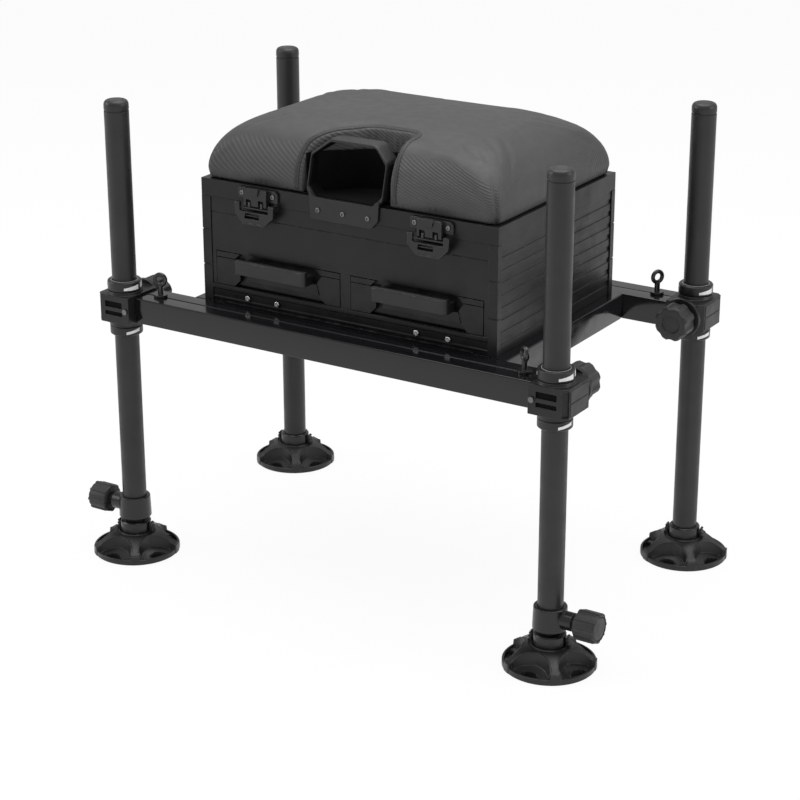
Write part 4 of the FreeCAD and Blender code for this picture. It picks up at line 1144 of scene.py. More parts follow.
    def trim(self, body: bpy.types.Object) -> None:
        """Sew a raised band with two rows of stitches along the notch's rim.

        Args:
            body: The seat.
        """
        graph = bpy.context.evaluated_depsgraph_get()
        tree = BVHTree.FromObject(body, graph)
        path = self.rim_path(tree)
        half = self.band_half
        section = [(-half, -0.7), (-half + 0.3, 0.5), (-half + 1.0, 1.0), (-half + 1.7, 0.55),
                   (-half + 2.5, 1.15), (0, 1.35), (half - 2.5, 1.15), (half - 1.7, 0.55),
                   (half - 1.0, 1.0), (half - 0.3, 0.5), (half, -0.7)]
        bands: list[list[Vector]] = []
        rows: list[list[tuple[Vector, Vector]]] = [[], []]
        for index, (spot, normal) in enumerate(path):
            along = path[min(index + 1, len(path) - 1)][0] - path[max(index - 1, 0)][0]
            across = along.cross(normal).normalized()
            bands.append([])
            for offset, rise in section:
                near = tree.find_nearest(spot + across * offset * MM)
                base = near[0] if near[0] is not None else spot + across * offset * MM
                bands[-1].append(base + normal * rise * MM)
            for row, offset in zip(rows, (-half + 1.7, half - 1.7)):
                near = tree.find_nearest(spot + across * offset * MM)
                row.append((near[0] + normal * 0.75 * MM, normal))
        band = net("notch_band", bands)
        for face in band.data.polygons:
            face.use_smooth = True
        paint(band, BAND)
        settle(band, "lid", "leatherette")
        stitches = [self.stitch(row, start) for row in rows for start in self.starts(row)]
        thread = join("notch_stitches", *stitches)
        finish_piece(thread, THREAD, "lid", "leatherette", 0)

    def starts(self, row: list[tuple[Vector, Vector]]) -> list[int]:
        """Find where each stitch of a row starts.

        Args:
            row: The row's points.

        Returns:
            The points' numbers.
        """
        found, run = [], 0.0
        for index in range(1, len(row) - 2):
            run += (row[index][0] - row[index - 1][0]).length / MM
            if run >= self.stitch_pitch:
                found.append(index)
                run -= self.stitch_pitch
        return found

    @staticmethod
    def stitch(row: list[tuple[Vector, Vector]], start: int) -> bpy.types.Object:
        """Make one stitch, a short rounded rod that dips at both ends.

        Args:
            row: The row's points.
            start: Where the stitch starts.

        Returns:
            The stitch.
        """
        first, second = row[start][0], row[start + 1][0]
        reach = (second - first).length / MM
        profile = [(0.15, -0.6), (0.6, -0.1), (0.75, 0.4),
                   (0.75, reach + 0.6), (0.6, reach + 1.1), (0.15, reach + 1.6)]
        return lathe("stitch", profile, tuple(first / MM), tuple(second - first), 6)

    def liner(self) -> None:
        """Line the notch's floor and the lower part of its walls with a thin near-black sheet: painted shade
        in the notch.
        """
        plan = [(x * 0.985, max(y, -166.0)) for x, y in self.outline]
        floor = prism("floor", plan, self.base + 0.1, self.base + 1.5, "Z")
        mid_x, mid_y = self.lining_middle
        deep, near = [[(mid_x + (x - mid_x) * wide, mid_y + (y - mid_y) * far) for x, y in self.outline[1:-1]]
                      for wide, far in self.lining_shares]
        wall = prism("wall", deep + near[::-1], self.base + 1.0, self.lining_top, "Z")
        finish_piece(join("notch_liner", floor, wall), SHADE_SHEET, "lid", "leatherette", 0.4)


@dataclass
class CarryHandle:
    """The moulded carry handle: a leaning octagonal tunnel under a flat grip, on a screwed flange."""

    half: float = 63.0
    wall: float = 3.0
    top: float = 672.5
    lip: float = 4.5
    low: float = 588.0
    foot: float = 561.0
    front_low: float = -172.6
    front_top: float = -150.5
    depth_low: float = 26.0
    depth_top: float = 31.0
    screws: Sequence[float] = (-41.0, 0.0, 41.0)
    screw_height: float = 575.0
    latch_screws: Sequence[float] = (-26.4, 26.4)
    latch_screw_height: float = 581.8

    def build(self) -> None:
        """Build the handle, its flange and its three screws."""
        outer = rounded([(-self.half, self.low + 14), (-self.half + 12, self.low - 3),
                         (self.half - 12, self.low - 3), (self.half, self.low + 14),
                         (self.half, self.top - 22), (self.half - 22, self.top),
                         (-self.half + 30, self.top), (-self.half, self.top - 22)],
                        (7, 8, 8, 7, 12, 16, 10, 8), 5)
        wall = self.wall
        inner = rounded([(-self.half + wall, self.low + 18), (-self.half + 15, self.low + 4.5),
                         (self.half - 15, self.low + 4.5), (self.half - wall, self.low + 18),
                         (self.half - wall, self.top - 25), (self.half - 22, self.top - self.lip),
                         (-self.half + 31, self.top - self.lip), (-self.half + wall, self.top - 25)],
                        (8, 9, 9, 8, 10, 8, 8, 8), 5)
        ring = self.tunnel("tunnel", (
            (outer, 0.0, 0.9), (outer, 0.06, 0.0), (outer, 0.35, -0.9), (outer, 0.7, -0.6),
            (outer, 0.94, 0.8), (outer, 1.0, 2.2), (inner, 1.0, -1.2), (inner, 0.9, -0.2),
            (inner, 0.07, 0.0), (inner, 0.0, -0.7)))
        # A near-black sleeve just inside the tunnel's inner wall: painted shade in the handle's opening.
        shade_sleeve = self.tunnel("handle_sleeve", ((inner, 0.16, 0.3), (inner, 0.96, 0.3), (inner, 0.96, 1.1),
                                               (inner, 0.16, 1.1)))
        finish_piece(shade_sleeve, SHADE_SHEET, "lid", "handle_black", 0)
        flange = rounded([(-54, self.foot), (46, self.foot), (57, self.foot + 11), (59, 600), (-57, 600)],
                         (3, 3, 3, 1, 1), 3)
        plate = prism("flange", flange, -172.6, -169.4)
        opening = prism("opening", inner, -180, -160)
        plate = carve(plate, opening)
        handle = join("carry_handle_body", ring, plate)
        finish_piece(handle, HANDLE, "lid", "handle_black", 0.5, "carry_handle")
        latch_places = [(LATCH_X * side.sign + offset, -175.1, self.latch_screw_height)
                        for side in Side for offset in self.latch_screws]
        screws = front_screws([(x, -174.6, self.screw_height) for x in self.screws], 3.6, 2.2)
        screws += front_screws(latch_places, 3.5, 2.2)
        finish_piece(join("lid_screw_heads", *screws), DARK_SCREW, "lid", "screw_steel", 0.3, "lid_screws")

    def tunnel(self, name: str, stations: Sequence[tuple[Sequence[Flat], float, float]]) -> bpy.types.Object:
        """Draw a closed ring back along the leaning front.

        Args:
            name: The ring's name.
            stations: Its rows in turn: an outline, its share of the depth, and how far it is set in.

        Returns:
            The closed ring.
        """
        rows: list[list[Vector]] = []
        middle = Vector((0, (self.low + self.top) / 2))
        for outline, share, inset in stations:
            row = []
            for x, z in outline:
                spot = Vector((x, z))
                spot -= (spot - middle).normalized() * inset
                rise = (z - self.low) / (self.top - self.low)
                front = self.front_low + (self.front_top - self.front_low) * max(0.0, rise)
                depth = self.depth_low + (self.depth_top - self.depth_low) * rise
                row.append(Vector((spot.x, front + depth * share, spot.y)) * MM)
            rows.append(row)
        return net(name, rows, True)


# The drawers and the lower rail


@dataclass
class DrawerFront:
    """One drawer's front: a lip, two fascia plates, a set-back lip, a dark recess and a bow pull."""

    side: Side
    half: float = 106.6
    low: float = 437.6
    high: float = 486.4
    seam: float = 477.6
    face: float = -168.2
    back: float = -159.2
    pull_half: float = 60.0
    pull_low: float = 463.0
    pull_high: float = 484.6
    pull_face: float = -187.5

    def build(self) -> None:
        """Build the front and settle it on its drawer."""
        self.middle = middle_of(f"drawer_front_{self.side.tag}").x
        parts = [self.plate([(-self.half, self.low), (self.half, self.low), (self.half, self.high),
                             (-self.half, self.high)], self.back - 1.6, self.back)]
        parts.append(self.plate([(-self.half, self.seam + 0.9), (-74, self.seam + 0.9), (-65, self.high),
                                 (-self.half, self.high)]))
        parts.append(self.plate([(self.half, self.seam + 0.9), (self.half, self.high), (66, self.high),
                                 (74, self.seam + 0.9)]))
        parts.append(self.plate(rounded([(-self.half, self.low), (-75, self.low), (-65, self.low + 10),
                                         (-65, self.seam), (-self.half, self.seam)], (0, 1.5, 1.5, 0, 0), 3)))
        parts.append(self.plate(rounded([(self.half, self.low), (self.half, self.seam), (76, self.seam),
                                         (68, self.seam - 10), (68, self.low + 12), (82, self.low)],
                                        (0, 0, 4, 8, 12, 3), 5)))
        parts.append(self.plate(rounded([(-55, self.low + 11.5), (72, self.low + 11.5), (68, self.low + 27),
                                         (-45, self.low + 27)], 0.8, 2), self.face - 1.6, self.back))
        front = join(f"drawer_face_{self.side.tag}", *parts)
        body = f"drawer_{self.side.tag}"
        finish_piece(front, BOX, body, "box_black", 0.45, f"drawer_front_{self.side.tag}")
        pull = self.pull()
        finish_piece(pull, PULL, body, "box_black", 0.8)

    def plate(self, outline: Sequence[Flat], front: Optional[float] = None,
              back: Optional[float] = None) -> bpy.types.Object:
        """Make a flat plate of the front.

        Args:
            outline: Its (x, z) outline, measured from the drawer's middle.
            front: Where its face lies on the Y axis.
            back: Where its back lies.

        Returns:
            The plate.
        """
        shifted = [(x + self.middle, z) for x, z in outline]
        return prism("plate", shifted, self.face if front is None else front,
                     self.back - 1.0 if back is None else back)

    def pull(self) -> bpy.types.Object:
        """Make the bow pull, square at its left end and round at its right end.

        Returns:
            The pull.
        """
        half, face, root = self.pull_half, self.pull_face, self.face + 3
        bow = rounded([(-half, root), (-half, face), (half, face), (half, root), (half - 8, root),
                       (half - 8, face + 7), (-half + 7, face + 7), (-half + 7, root)],
                      (0, 1.2, 6.5, 0, 0, 4, 4, 0), 6)
        outline = [(x + self.middle, y) for x, y in bow]
        pull = prism(f"drawer_pull_{self.side.tag}", outline, self.pull_low, self.pull_high, "Z")
        hollow = block("hollow", (self.middle - half - 5, face + 7.5, self.pull_high - 8),
                       (self.middle + half + 5, root + 5, self.pull_high + 5))
        edge = face + 0.01
        slope = [(edge - 2, self.pull_high + 1), (edge - 2, self.pull_high - 4), (edge, self.pull_high - 3),
                 (edge + 3.2, self.pull_high + 1)]
        return carve(pull, prism("bevel", slope, self.middle - half - 5, self.middle + half + 5, "X"), hollow)


@dataclass
class LowerRail:
    """The stepped rail under the drawers, with a skirt in front and a sill behind that close the slits."""

    reach: float = 229.8
    section: Sequence[Flat] = (
        (-160, 437), (-167.5, 437), (-168.9, 435.6), (-168.9, 430.4), (-167.3, 429.0), (-167.3, 418.6),
        (-168.5, 417.6), (-168.5, 415.6), (-167.3, 414.6), (-167.3, 410.6), (-160, 410.6))
    sill: Sequence[Flat] = ((162, 405.5), (170.5, 405.5), (170.5, 410.9), (168.8, 412.4), (162, 412.4))
    skirt_low: float = 405.5
    skirt_high: float = 412.0
    screws: Sequence[float] = (-168.0, -117.0, 117.0, 168.0)
    screw_height: float = 423.0

    def build(self) -> None:
        """Build the rail, the sill and the rail's screws."""
        rails = frame["nodes"]["side_rails"]
        inner = min(abs((rails.matrix_world @ vertex.co).x) for vertex in rails.data.vertices) / MM
        rail = prism("rail", self.section, -self.reach, self.reach, "X")
        skirt = block("skirt", (-inner, -170.0, self.skirt_low), (inner, -162.0, self.skirt_high))
        whole = join("lower_rail_face", rail, skirt)
        finish_piece(whole, BOX_DARK, "root", "box_black", 0.35, "front_lower_rail")
        finish_piece(prism("rear_sill", self.sill, -inner, inner, "X"), BOX_DARK, "root", "box_black", 0.3)
        screws = front_screws([(x, -170.6, self.screw_height) for x in self.screws], 4.2, 2.6)
        finish_piece(join("rail_screw_heads", *screws), SCREW, "root", "screw_steel", 0.3, "box_screws")


# The latches


@dataclass
class Latch:
    """One draw latch: a screwed bracket with a raised block and springs, and a lever that hangs on it."""

    side: Side
    bracket_back: float = -169.4
    plate_face: float = -173.0
    block_face: float = -180.0
    tab_face: float = -182.2
    lever_face: float = -182.6
    pivot_y: float = -178.5
    pivot_z: float = 562.0
    spring_low: float = 564.6
    spring_pitch: float = 1.75

    def build(self) -> None:
        """Build the lever of this side."""
        self.middle = LATCH_X * self.side.sign
        self.lever()
        self.springs()

    def shift(self, outline: Sequence[Flat]) -> list[Flat]:
        """Move an outline to this latch.

        Args:
            outline: (x, z) points from the latch's middle.

        Returns:
            The moved outline.
        """
        return [(x + self.middle, z) for x, z in outline]

    def bracket(self) -> list[bpy.types.Object]:
        """Make the bracket's solids.

        Returns:
            The plate with its two ears, the block and the thumb tab.
        """
        ears = rounded([(-34, 574), (34, 573), (34, 586), (30, 590), (-34, 590)], (3, 3, 1.5, 1.5, 3), 3)
        plate = prism("plate", self.shift(ears), self.plate_face, self.bracket_back)
        face = rounded([(-19.5, 566), (19.5, 566), (19.5, 590.5), (-19.5, 591)], (1.2, 1.2, 2, 2), 3)
        lump = prism("block", self.shift(face), self.block_face, self.plate_face + 0.5)
        cuts = [block("notch", (self.middle + a, -190, 560), (self.middle + b, -174.2, 575))
                for a, b in ((-15.5, -6.5), (5.5, 14.5))]
        lump = carve(lump, *cuts)
        tab = rounded([(-8, 581.5), (5.5, 581.5), (8, 592.3), (-6, 592.3)], (0.8, 0.8, 1.2, 1.2), 3)
        thumb = prism("tab", self.shift(tab), self.tab_face, self.block_face + 1)
        return [plate, lump, thumb]

    def springs(self) -> None:
        """Make the two small springs in the block's notches."""
        coils = []
        for x in (-11.0, 10.0):
            for turn in range(4):
                middle = (self.middle + x, -177.2, self.spring_low + self.spring_pitch * turn)
                coils.append(lathe("coil", wire(2.1, 0.55, 0.55), middle, (0.12, 0.2, 1), 18, True))
        spring = join(f"latch_springs_{self.side.tag}", *coils)
        finish_piece(spring, SPRING, "lid", "screw_steel", 0)

    def lever(self) -> None:
        """Make the lever: two arms, a plate with a barred window, and its pin."""
        outline = rounded([(-33, 570), (-33, 553), (-19, 539), (17, 539), (32, 553), (33.5, 570), (24, 570),
                           (24, 557.6), (-25, 557.6), (-25, 570)], (2, 2, 2, 2, 2, 2, 1, 1.5, 1.5, 1), 3)
        plate = prism("lever", self.shift(outline), self.lever_face, -177.6)
        window = rounded([(-17, 547.6), (8, 547.6), (9, 555.4), (-15, 555.4)], 0.7, 2)
        carve(plate, prism("window", self.shift(window), -190, -170))
        bar = block("bar", (self.middle - 15.5, -181.4, 551.2), (self.middle + 8.5, -179.2, 552.8))
        lip = rounded([(-19, 541.4), (17, 541.4), (15, 539.2), (-17, 539.2)], 0.5, 2)
        foot = prism("lip", self.shift(lip), self.lever_face - 0.8, self.lever_face + 0.6)
        pin = lathe("pin", [(1.6, -25), (1.6, 25)], (self.middle, self.pivot_y, self.pivot_z), (1, 0, 0), 16)
        backing = block("backing", (self.middle - 24, -175.6, 541.5), (self.middle + 23, -174.4, 557.0))
        lever = join(f"latch_hook_{self.side.tag}", plate, bar, foot, pin, backing)
        tag = self.side.tag
        finish_piece(lever, LATCH_EDGE, f"latch_{tag}", "latch_black", 0.45, f"latch_lever_{tag}")


def build_latches() -> None:
    """Build both latches and their shared bracket piece."""
    solids: list[bpy.types.Object] = []
    for side in Side:
        latch = Latch(side)
        latch.build()
        solids += latch.bracket()
    finish_piece(join("latch_blocks", *solids), LATCH_EDGE, "lid", "latch_black", 0.45, "latch_brackets")


# The feet, the legs' fittings and the clamp rings


@dataclass
class Foot:
    """One round tilting foot: a dome with arched scoops between ribs, a hub with a well, and two clips."""

    corner: Corner
    radius: float = 66.0
    rim: float = 8.6
    hub: float = 33.0
    well: float = 22.6
    floor: float = 10.0
    scoops: int = 5
    scoop_floor: float = 6.2
    rib_end: float = 16.0
    rib_turn: float = 0.11
    arch_half: float = 29.4
    arch_out: float = 61.6
    arch_in: float = 34.5
    hole_half: float = 12.5
    hole_out: float = 60.6
    hole_in: float = 50.5
    hole_floor: float = 1.6
    border: float = 1.3
    shoulder: float = 28.0
    fall: float = 1.45
    bowl_rise: float = 11.0
    brink: float = -1.0
    steps: int = 260

    def build(self) -> None:
        """Build the foot and settle it on its body."""
        tag = self.corner.tag
        self.x, self.y, _ = middle_of(f"foot_disc_{tag}")
        foot = join(f"foot_dome_{tag}", self.dome(), *self.lugs(), *self.clips())
        finish_piece(foot, FOOT, f"foot_{tag}", "foot_black", 0.25, f"foot_disc_{tag}")

    @staticmethod
    def arch(reach: float, aside: float, half: float, outer: float, inner: float,
             power: float = 1.55) -> float:
        """Measure how far a point lies inside an arch that opens outward.

        Args:
            reach: The point's distance from the foot's axis.
            aside: Its distance from the arch's middle line.
            half: Half the arch's width at the rim.
            outer: Where the arch opens.
            inner: Where its crown lies.
            power: How full its shoulders are; 2 is a round arch.

        Returns:
            A share that is above zero inside the arch.
        """
        if reach > outer:
            return -1.0
        depth = (outer - reach) / (outer - inner)
        return 1 - (aside / half) ** power - depth ** power

    def local(self, angle: float) -> float:
        """Find how far an angle lies from the middle of its scoop."""
        sector = 2 * math.pi / self.scoops
        return (angle + sector / 2 + math.pi / 2) % sector - sector / 2

    def height(self, reach: float, angle: float) -> float:
        """Find the height of the dome's top.

        Args:
            reach: The distance from the foot's axis.
            angle: The angle round it.

        Returns:
            The height in millimetres.
        """
        share = max(0.0, min(1.0, (reach - self.shoulder) / (self.arch_out - self.shoulder)))
        dome = self.hub - 0.6 + (self.rib_end - self.hub) * share ** self.fall
        aside = abs(math.sin(self.local(angle))) * reach
        inside = self.arch(reach, aside, self.arch_half, self.arch_out, self.arch_in)
        edge = max(0.0, 1 - abs(inside + 0.02) / 0.05)
        top = dome + self.border * edge
        drop = max(0.0, min(1.0, (inside - 0.01) / 0.11))
        drop = drop * drop * (3 - 2 * drop)
        bowl = self.scoop_floor + self.bowl_rise * (1 - share) ** 1.1
        top += (bowl - top) * drop
        hollow = self.arch(reach, aside, self.hole_half, self.hole_out, self.hole_in, 2.2)
        if hollow > -0.25:
            lip = max(0.0, 1 - abs(hollow + 0.08) / 0.12)
            sink = max(0.0, min(1.0, hollow / 0.10))
            top += 1.3 * lip * (1 - sink)
            top += (self.hole_floor - top) * sink
        return top

    def dome(self) -> bpy.types.Object:
        """Make the dome as one closed net of rings.

        Returns:
            The dome.
        """
        stations: list[tuple[float, Optional[float]]] = [
            (2.0, self.floor), (self.well, self.floor), (self.well + 0.2, self.hub - 1.6),
            (self.well + 1.4, self.hub + 0.2), (self.well + 3.4, self.hub + 0.2),
            (self.well + 4.4, self.hub - 0.8)]
        reach = self.shoulder
        while reach < self.arch_out:
            stations.append((reach, None))
            reach += 1.05
        stations += [(self.arch_out + 0.1, self.brink), (self.arch_out + 0.6, self.rim),
                     (self.radius - 2.0, self.rim), (self.radius - 1.0, self.rim - 0.8),
                     (self.radius - 0.8, 1.2), (self.radius - 2.0, 0.0), (2.0, 0.0)]
        rows = []
        for reach, level in stations:
            row = []
            for step in range(self.steps):
                angle = 2 * math.pi * step / self.steps
                rib = abs(self.local(angle)) > math.pi / self.scoops - self.rib_turn
                spread, top = reach, level
                if level is None:
                    top = self.height(reach, angle)
                elif level == self.brink:
                    top = self.rib_end - 0.4 if rib else self.rim
                elif rib and reach > self.arch_out and level > 0:
                    top = level + (self.rib_end - self.rim - 1.2 if level > 5 else 0.0)
                    spread = reach + 0.8
                spot = (self.x + spread * math.cos(angle), self.y + spread * math.sin(angle), top)
                row.append(Vector(spot) * MM)
            rows.append(row)
        return net("dome", rows)

    def lugs(self) -> list[bpy.types.Object]:
        """Make the two lugs in the well that hold the ankle pin.

        Returns:
            The lugs.
        """
        profile = [(-5, self.floor - 1), (5, self.floor - 1), (5, 24), (2.5, 28), (-2.5, 28), (-5, 24)]
        placed = [(y + self.y, z) for y, z in profile]
        return [prism("lug", placed, self.x + a, self.x + b, "X") for a, b in ((-15, -10.6), (10.6, 15))]

    def clips(self) -> list[bpy.types.Object]:
        """Make the two barbed clips that stand on the hub.

        Returns:
            The clips.
        """
        barbs = [(23.2, self.hub - 3), (29, self.hub - 3), (30.5, self.hub + 3), (27.6, self.hub + 5),
                 (29.6, self.hub + 8), (27.4, self.hub + 10), (28.4, self.hub + 13), (25.6, self.hub + 15),
                 (23.8, self.hub + 12), (24.8, self.hub + 6)]
        made = []
        for start in (12.0, 192.0):
            clip = prism("clip", barbs, -5.5, 5.5, "Y")
            turn = Matrix.Rotation(math.radians(start), 4, "Z")
            clip.data.transform(Matrix.Translation(Vector((self.x, self.y, 0)) * MM) @ turn)
            made.append(clip)
        return made


@dataclass
class LegFittings:
    """One leg's rounded cap, a near-black floor in its clamp's slots as painted shade, and a front leg's
    fluted knob.
    """

    corner: Corner
    cap_height: float = 16.0
    plug: float = 15.2
    flutes: int = 8
    knob_radius: float = 22.3
    knob_start: float = 42.0
    knob_end: float = 75.9
    clamp_front: float = 27.5
    slots: Sequence[Flat] = ((395.6, 404.4), (383.6, 389.4))
    slot_run: Flat = (-14.9, 15.9)
    slot_floor: Flat = (2.6, 1.9)

    def build(self) -> None:
        """Build this leg's pieces."""
        self.x, self.y, _ = middle_of(f"leg_tube_{self.corner.tag}")
        self.cap()
        self.slot_floors()
        if self.corner.front:
            self.knob()

    def cap(self) -> None:
        """Make the cap: a plug, a groove, a straight skirt and a rounded shoulder round a shallow dish."""
        tag = self.corner.tag
        low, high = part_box(f"leg_cap_{tag}")
        foot, top = low.z / MM, high.z / MM
        seat = top - self.cap_height
        profile = [(2, foot + 0.2), (self.plug, foot + 0.2), (self.plug, seat + 0.05), (16.9, seat + 0.05),
                   (16.9, seat + 1.6), (17.7, seat + 1.8), (18.0, seat + 2.6), (18.05, top - 7.5),
                   (17.7, top - 5.0), (16.8, top - 2.8), (15.3, top - 1.2), (13.4, top - 0.3),
                   (11.6, top - 0.1), (11.1, top - 0.7), (10.6, top - 0.7), (10.1, top - 0.1), (2, top - 0.1)]
        cap = lathe(f"leg_cap_round_{tag}", profile, (self.x, self.y, 0), (0, 0, 1), 64)
        finish_piece(cap, TUBE, f"leg_{tag}", "tube_black", 0.2, f"leg_cap_{tag}")

    def slot_floors(self) -> None:
        """Lay a thin near-black floor in each of the clamp's two slots: painted shade in the recesses."""
        side, end = self.corner.side, self.corner.end
        face = self.y + end * self.clamp_front
        left, right = sorted(self.x + side * reach for reach in self.slot_run)
        deep, near = sorted(face - end * depth for depth in self.slot_floor)
        shade_floors = []
        for low, high in self.slots:
            outline = rounded([(left, low), (right, low), (right, high), (left, high)], 0.8, 2)
            shade_floors.append(prism("floor", outline, deep, near))
        finish_piece(join(f"clamp_slots_{self.corner.tag}", *shade_floors), SHADE_SHEET, "root", "clamp_black", 0)

    def flute(self, angle: float) -> float:
        """Find the knob's share of its radius at an angle: narrow ridges between shallow flutes.

        Args:
            angle: The angle round the knob.

        Returns:
            The share.
        """
        sector = 2 * math.pi / self.flutes
        local = abs((angle + sector / 2) % sector - sector / 2) / (sector / 2)
        return 1.0 if local < 0.15 else 0.90 + 0.04 * local

    def knob(self) -> None:
        """Make the collar's knob: a stepped neck, a fluted body and a set-in disc."""
        tag = self.corner.tag
        _, y, z = middle_of(f"collar_knob_{tag}")
        middle = (self.x, y, z)
        axis = (self.corner.side, 0, 0)
        start, radius, end = self.knob_start, self.knob_radius, self.knob_end
        neck = lathe("neck", [(8.6, 14.6), (8.6, 30), (9.0, 31), (11.2, 31.6), (11.2, 37), (10.2, 37.8),
                              (9, 38), (9, start + 1)], middle, axis, 32)
        shell = lathe("shell", [(15, start), (radius - 3.4, start + 0.6), (radius - 0.8, start + 2.4),
                                (radius, start + 5), (radius, end - 3.4), (radius - 0.6, end - 1.4),
                                (radius - 2.2, end), (radius - 3.6, end), (radius - 4.2, end - 1.6),
                                (3, end - 1.6)], middle, axis, 120, False, self.flute)
        disc = lathe("disc", [(16.2, end - 2), (16.2, end - 0.9), (15.6, end - 0.5), (9.4, end - 0.5),
                              (9.0, end - 0.9), (8.6, end - 0.5), (3, end - 0.5)], middle, axis, 48)
        knob = join(f"collar_knob_fluted_{tag}", neck, shell, disc)
        finish_piece(knob, KNOB, f"collar_screw_{tag}", "knob_grey", 0.25, f"collar_knob_{tag}")


@dataclass
class RingMarks:
    """The white index bars of the clamp rings, and a pale grey wire at their inner edge that is a painted
    highlight, at every leg.
    """

    top: float = 433.0
    upper_radius: float = 25.05
    lower_radius: float = 24.05
    edge_radius: float = 19.4
    steps: int = 10
    bars: Sequence[tuple[bool, float, float, tuple[float, float, float, float]]] = (
        (True, -54.0, 0.0, (421.6, 425.0, 421.6, 428.6)),
        (True, 14.0, 30.0, (422.4, 429.6, 423.6, 431.0)),
        (True, 205.0, 216.0, (423.0, 423.6, 423.0, 429.0)),
        (False, -52.0, 0.0, (353.6, 357.4, 357.0, 361.8)),
    )

    def build(self) -> None:
        """Build the marks of all four legs as one piece, and the painted highlight wires at the rings' inner
        edges as another.
        """
        marks, edges = [], []
        for corner in Corner:
            middle = middle_of(f"leg_tube_{corner.tag}")
            for upper, start, end, heights in self.bars:
                marks.append(self.bar(middle, upper, start, end, heights))
            # A pale grey wire round the ring's inner edge: a painted highlight.
            ring = wire(self.edge_radius, 0.55, 0.45)
            edges.append(lathe("edge", ring, (middle.x, middle.y, self.top), (0, 0, 1), 64, True))
        finish_piece(join("ring_marks", *marks), MARK, "root", "ring_grey", 0)
        finish_piece(join("ring_edges", *edges), RING_HIGHLIGHT, "root", "ring_grey", 0)

    def bar(self, middle: Vector, upper: bool, start: float, end: float,
            heights: tuple[float, float, float, float]) -> bpy.types.Object:
        """Make one curved bar, a thin plate bent round the ring.

        Args:
            middle: The ring's middle.
            upper: Whether it is on the upper ring.
            start: Where it starts, in degrees round the leg.
            end: Where it ends.
            heights: Its lower and upper edge at the start, then at the end.

        Returns:
            The bar.
        """
        radius = self.upper_radius if upper else self.lower_radius
        rows = []
        for step in range(self.steps + 1):
            share = step / self.steps
            angle = math.radians(start + (end - start) * share)
            low = heights[0] + (heights[2] - heights[0]) * share
            high = heights[1] + (heights[3] - heights[1]) * share
            corners = ((radius - 0.4, low), (radius + 0.25, low), (radius + 0.25, high), (radius - 0.4, high))
            away = Vector((math.cos(angle), math.sin(angle), 0))
            rows.append([(Vector((middle.x, middle.y, level)) + away * reach) * MM
                         for reach, level in corners])
        return net("bar", rows)


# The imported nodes


def dress_nodes() -> None:
    """Give every CAD node that stays its finish and its softened edges."""
    looks: list[tuple[str, Finish, float]] = [
        ("front_rail", RAIL, 0.8), ("rear_rail", RAIL, 0.8), ("side_rails", RAIL, 0.8),
        ("clamp_rings", RING, 0.5), ("clamp_screws", DARK_SCREW, 0.4), ("strap_eyes", EYE, 0.4),
        ("corner_posts", BOX, 0.5), ("front_upper_panel", BOX, 0.5), ("side_panels", BOX, 0.5),
        ("rear_panel", BOX, 0.5), ("lid_frame", BOX, 0.5), ("drawer_guides", BOX, 0.4),
        ("box_floor", LINING, 0.3), ("drawer_shelf", LINING, 0.3), ("lid_board", BOARD, 0.3),
        ("latch_keepers", LATCH, 0.3), ("body_hinges", LATCH, 0.4), ("lid_hinge_leaves", LATCH, 0.4)]
    looks += [(f"drawer_tub_{side.tag}", LINING, 0.3) for side in Side]
    for corner in Corner:
        tag = corner.tag
        looks += [(f"leg_clamp_{tag}", CLAMP, 0.8), (f"clamp_knob_{tag}", KNOB, 0.8),
                  (f"leg_tube_{tag}", TUBE, 0.4), (f"foot_cup_{tag}", CUP, 0.5)]
        if corner.front:
            looks += [(f"leg_collar_{tag}", CUP, 0.6), (f"inner_leg_{tag}", TUBE, 0.3)]
    for name, finish, width in looks:
        dress(name, finish, width)


# The studio


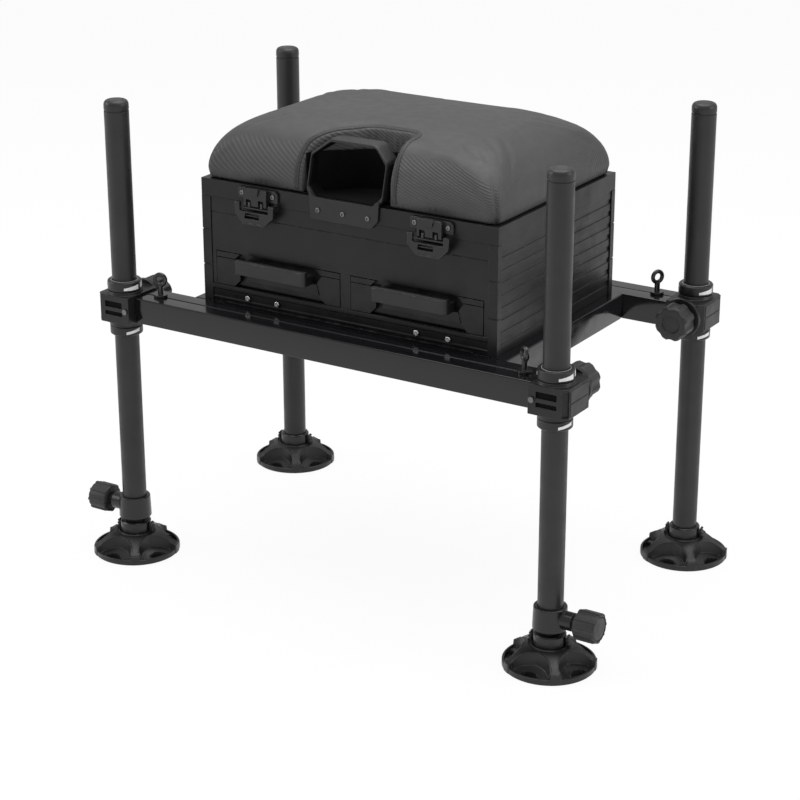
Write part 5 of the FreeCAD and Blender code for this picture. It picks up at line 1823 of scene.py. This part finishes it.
@dataclass
class Studio:
    """The pale floor, the white surround, the lamps and the camera."""

    eye: Point = (1.6323, -2.6088, 1.4151)
    azimuth: float = 32.290
    elevation: float = 20.794
    roll: float = -0.101
    lens: float = 99.473
    floor_glow: float = 0.92
    lights: Sequence[tuple[str, Point, Point, float, float]] = (
        ("overhead", (0.0, 0.2, 2.8), (0, 0, 0.5), 2.6, 62.0),
        ("left_side", (-2.6, -1.4, 1.6), (0, 0, 0.4), 1.4, 22.0),
        ("right_side", (2.8, 0.6, 1.5), (0, 0, 0.4), 1.4, 18.0))

    def build(self) -> None:
        """Set the stage and the camera."""
        self.floor()
        self.surround()
        for light in self.lights:
            self.lamp(*light)
        self.camera()
        bpy.context.scene.view_settings.view_transform = "Standard"

    def floor(self) -> None:
        """Lay a wide pale floor that shows white to the camera and keeps a soft shadow."""
        half = 6.0
        corners = [(-half, -half, 0), (half, -half, 0), (half, half, 0), (-half, half, 0)]
        floor = new_object("studio_floor", corners, [(0, 1, 2, 3)])
        material = bpy.data.materials.new("floor_white")
        material.use_nodes = True
        graph = Graph(material.node_tree)
        nodes = material.node_tree.nodes
        nodes.clear()
        diffuse = graph.add("ShaderNodeBsdfDiffuse", {"Color": (0.92, 0.92, 0.92, 1)})
        glow = graph.add("ShaderNodeEmission", {"Color": (1, 1, 1, 1), "Strength": 1.0})
        rays = graph.add("ShaderNodeLightPath")
        seen = graph.math("MAXIMUM", rays.outputs["Is Camera Ray"], rays.outputs["Is Glossy Ray"])
        share = graph.math("MULTIPLY", seen, self.floor_glow)
        mixed = graph.add("ShaderNodeMixShader", {0: share, 1: diffuse.outputs[0], 2: glow.outputs[0]})
        graph.add("ShaderNodeOutputMaterial", {0: mixed.outputs[0]})
        floor.data.materials.append(material)

    def surround(self) -> None:
        """Make the world white to the camera and a plain grey light for the object."""
        world = bpy.data.worlds.new("studio")
        bpy.context.scene.world = world
        world.use_nodes = True
        nodes = world.node_tree.nodes
        nodes.clear()
        graph = Graph(world.node_tree)
        rays = graph.add("ShaderNodeLightPath")
        seen = graph.math("MAXIMUM", rays.outputs["Is Camera Ray"], rays.outputs["Is Transmission Ray"])
        level = graph.ramp(seen, 0.0, 1.0, 0.55, 1.0, False)
        sky = graph.add("ShaderNodeBackground", {"Color": (1, 1, 1, 1), "Strength": level})
        graph.add("ShaderNodeOutputWorld", {0: sky.outputs[0]})

    @staticmethod
    def lamp(name: str, spot: Point, aim: Point, size: float, power: float) -> None:
        """Add one square area lamp.

        Args:
            name: The lamp's name.
            spot: Where it hangs.
            aim: The point that it faces.
            size: Its width.
            power: Its power in watts.
        """
        data = bpy.data.lights.new(name, "AREA")
        data.size = size
        data.energy = power
        lamp = bpy.data.objects.new(name, data)
        lamp.location = spot
        lamp.rotation_euler = (Vector(aim) - Vector(spot)).to_track_quat("-Z", "Y").to_euler()
        bpy.context.scene.collection.objects.link(lamp)

    def camera(self) -> None:
        """Place the camera at the photograph's angle."""
        data = bpy.data.cameras.new("camera")
        data.lens = self.lens
        data.sensor_width = 36.0
        camera = bpy.data.objects.new("camera", data)
        turn = (Matrix.Rotation(math.radians(self.azimuth), 4, "Z")
                @ Matrix.Rotation(math.radians(90 - self.elevation), 4, "X")
                @ Matrix.Rotation(math.radians(self.roll), 4, "Z"))
        camera.matrix_world = Matrix.Translation(Vector(self.eye)) @ turn
        bpy.context.scene.collection.objects.link(camera)
        bpy.context.scene.camera = camera


def main() -> None:
    """Build every sub-assembly in order, then the studio."""
    logging.basicConfig(level=logging.INFO, format="%(name)s: %(message)s")
    dress_nodes()
    SeatCushion().build()
    CarryHandle().build()
    for side in Side:
        DrawerFront(side).build()
    LowerRail().build()
    build_latches()
    for corner in Corner:
        Foot(corner).build()
        LegFittings(corner).build()
    RingMarks().build()
    Studio().build()
    wake_modifiers()


if __name__ == "__main__":
    main()
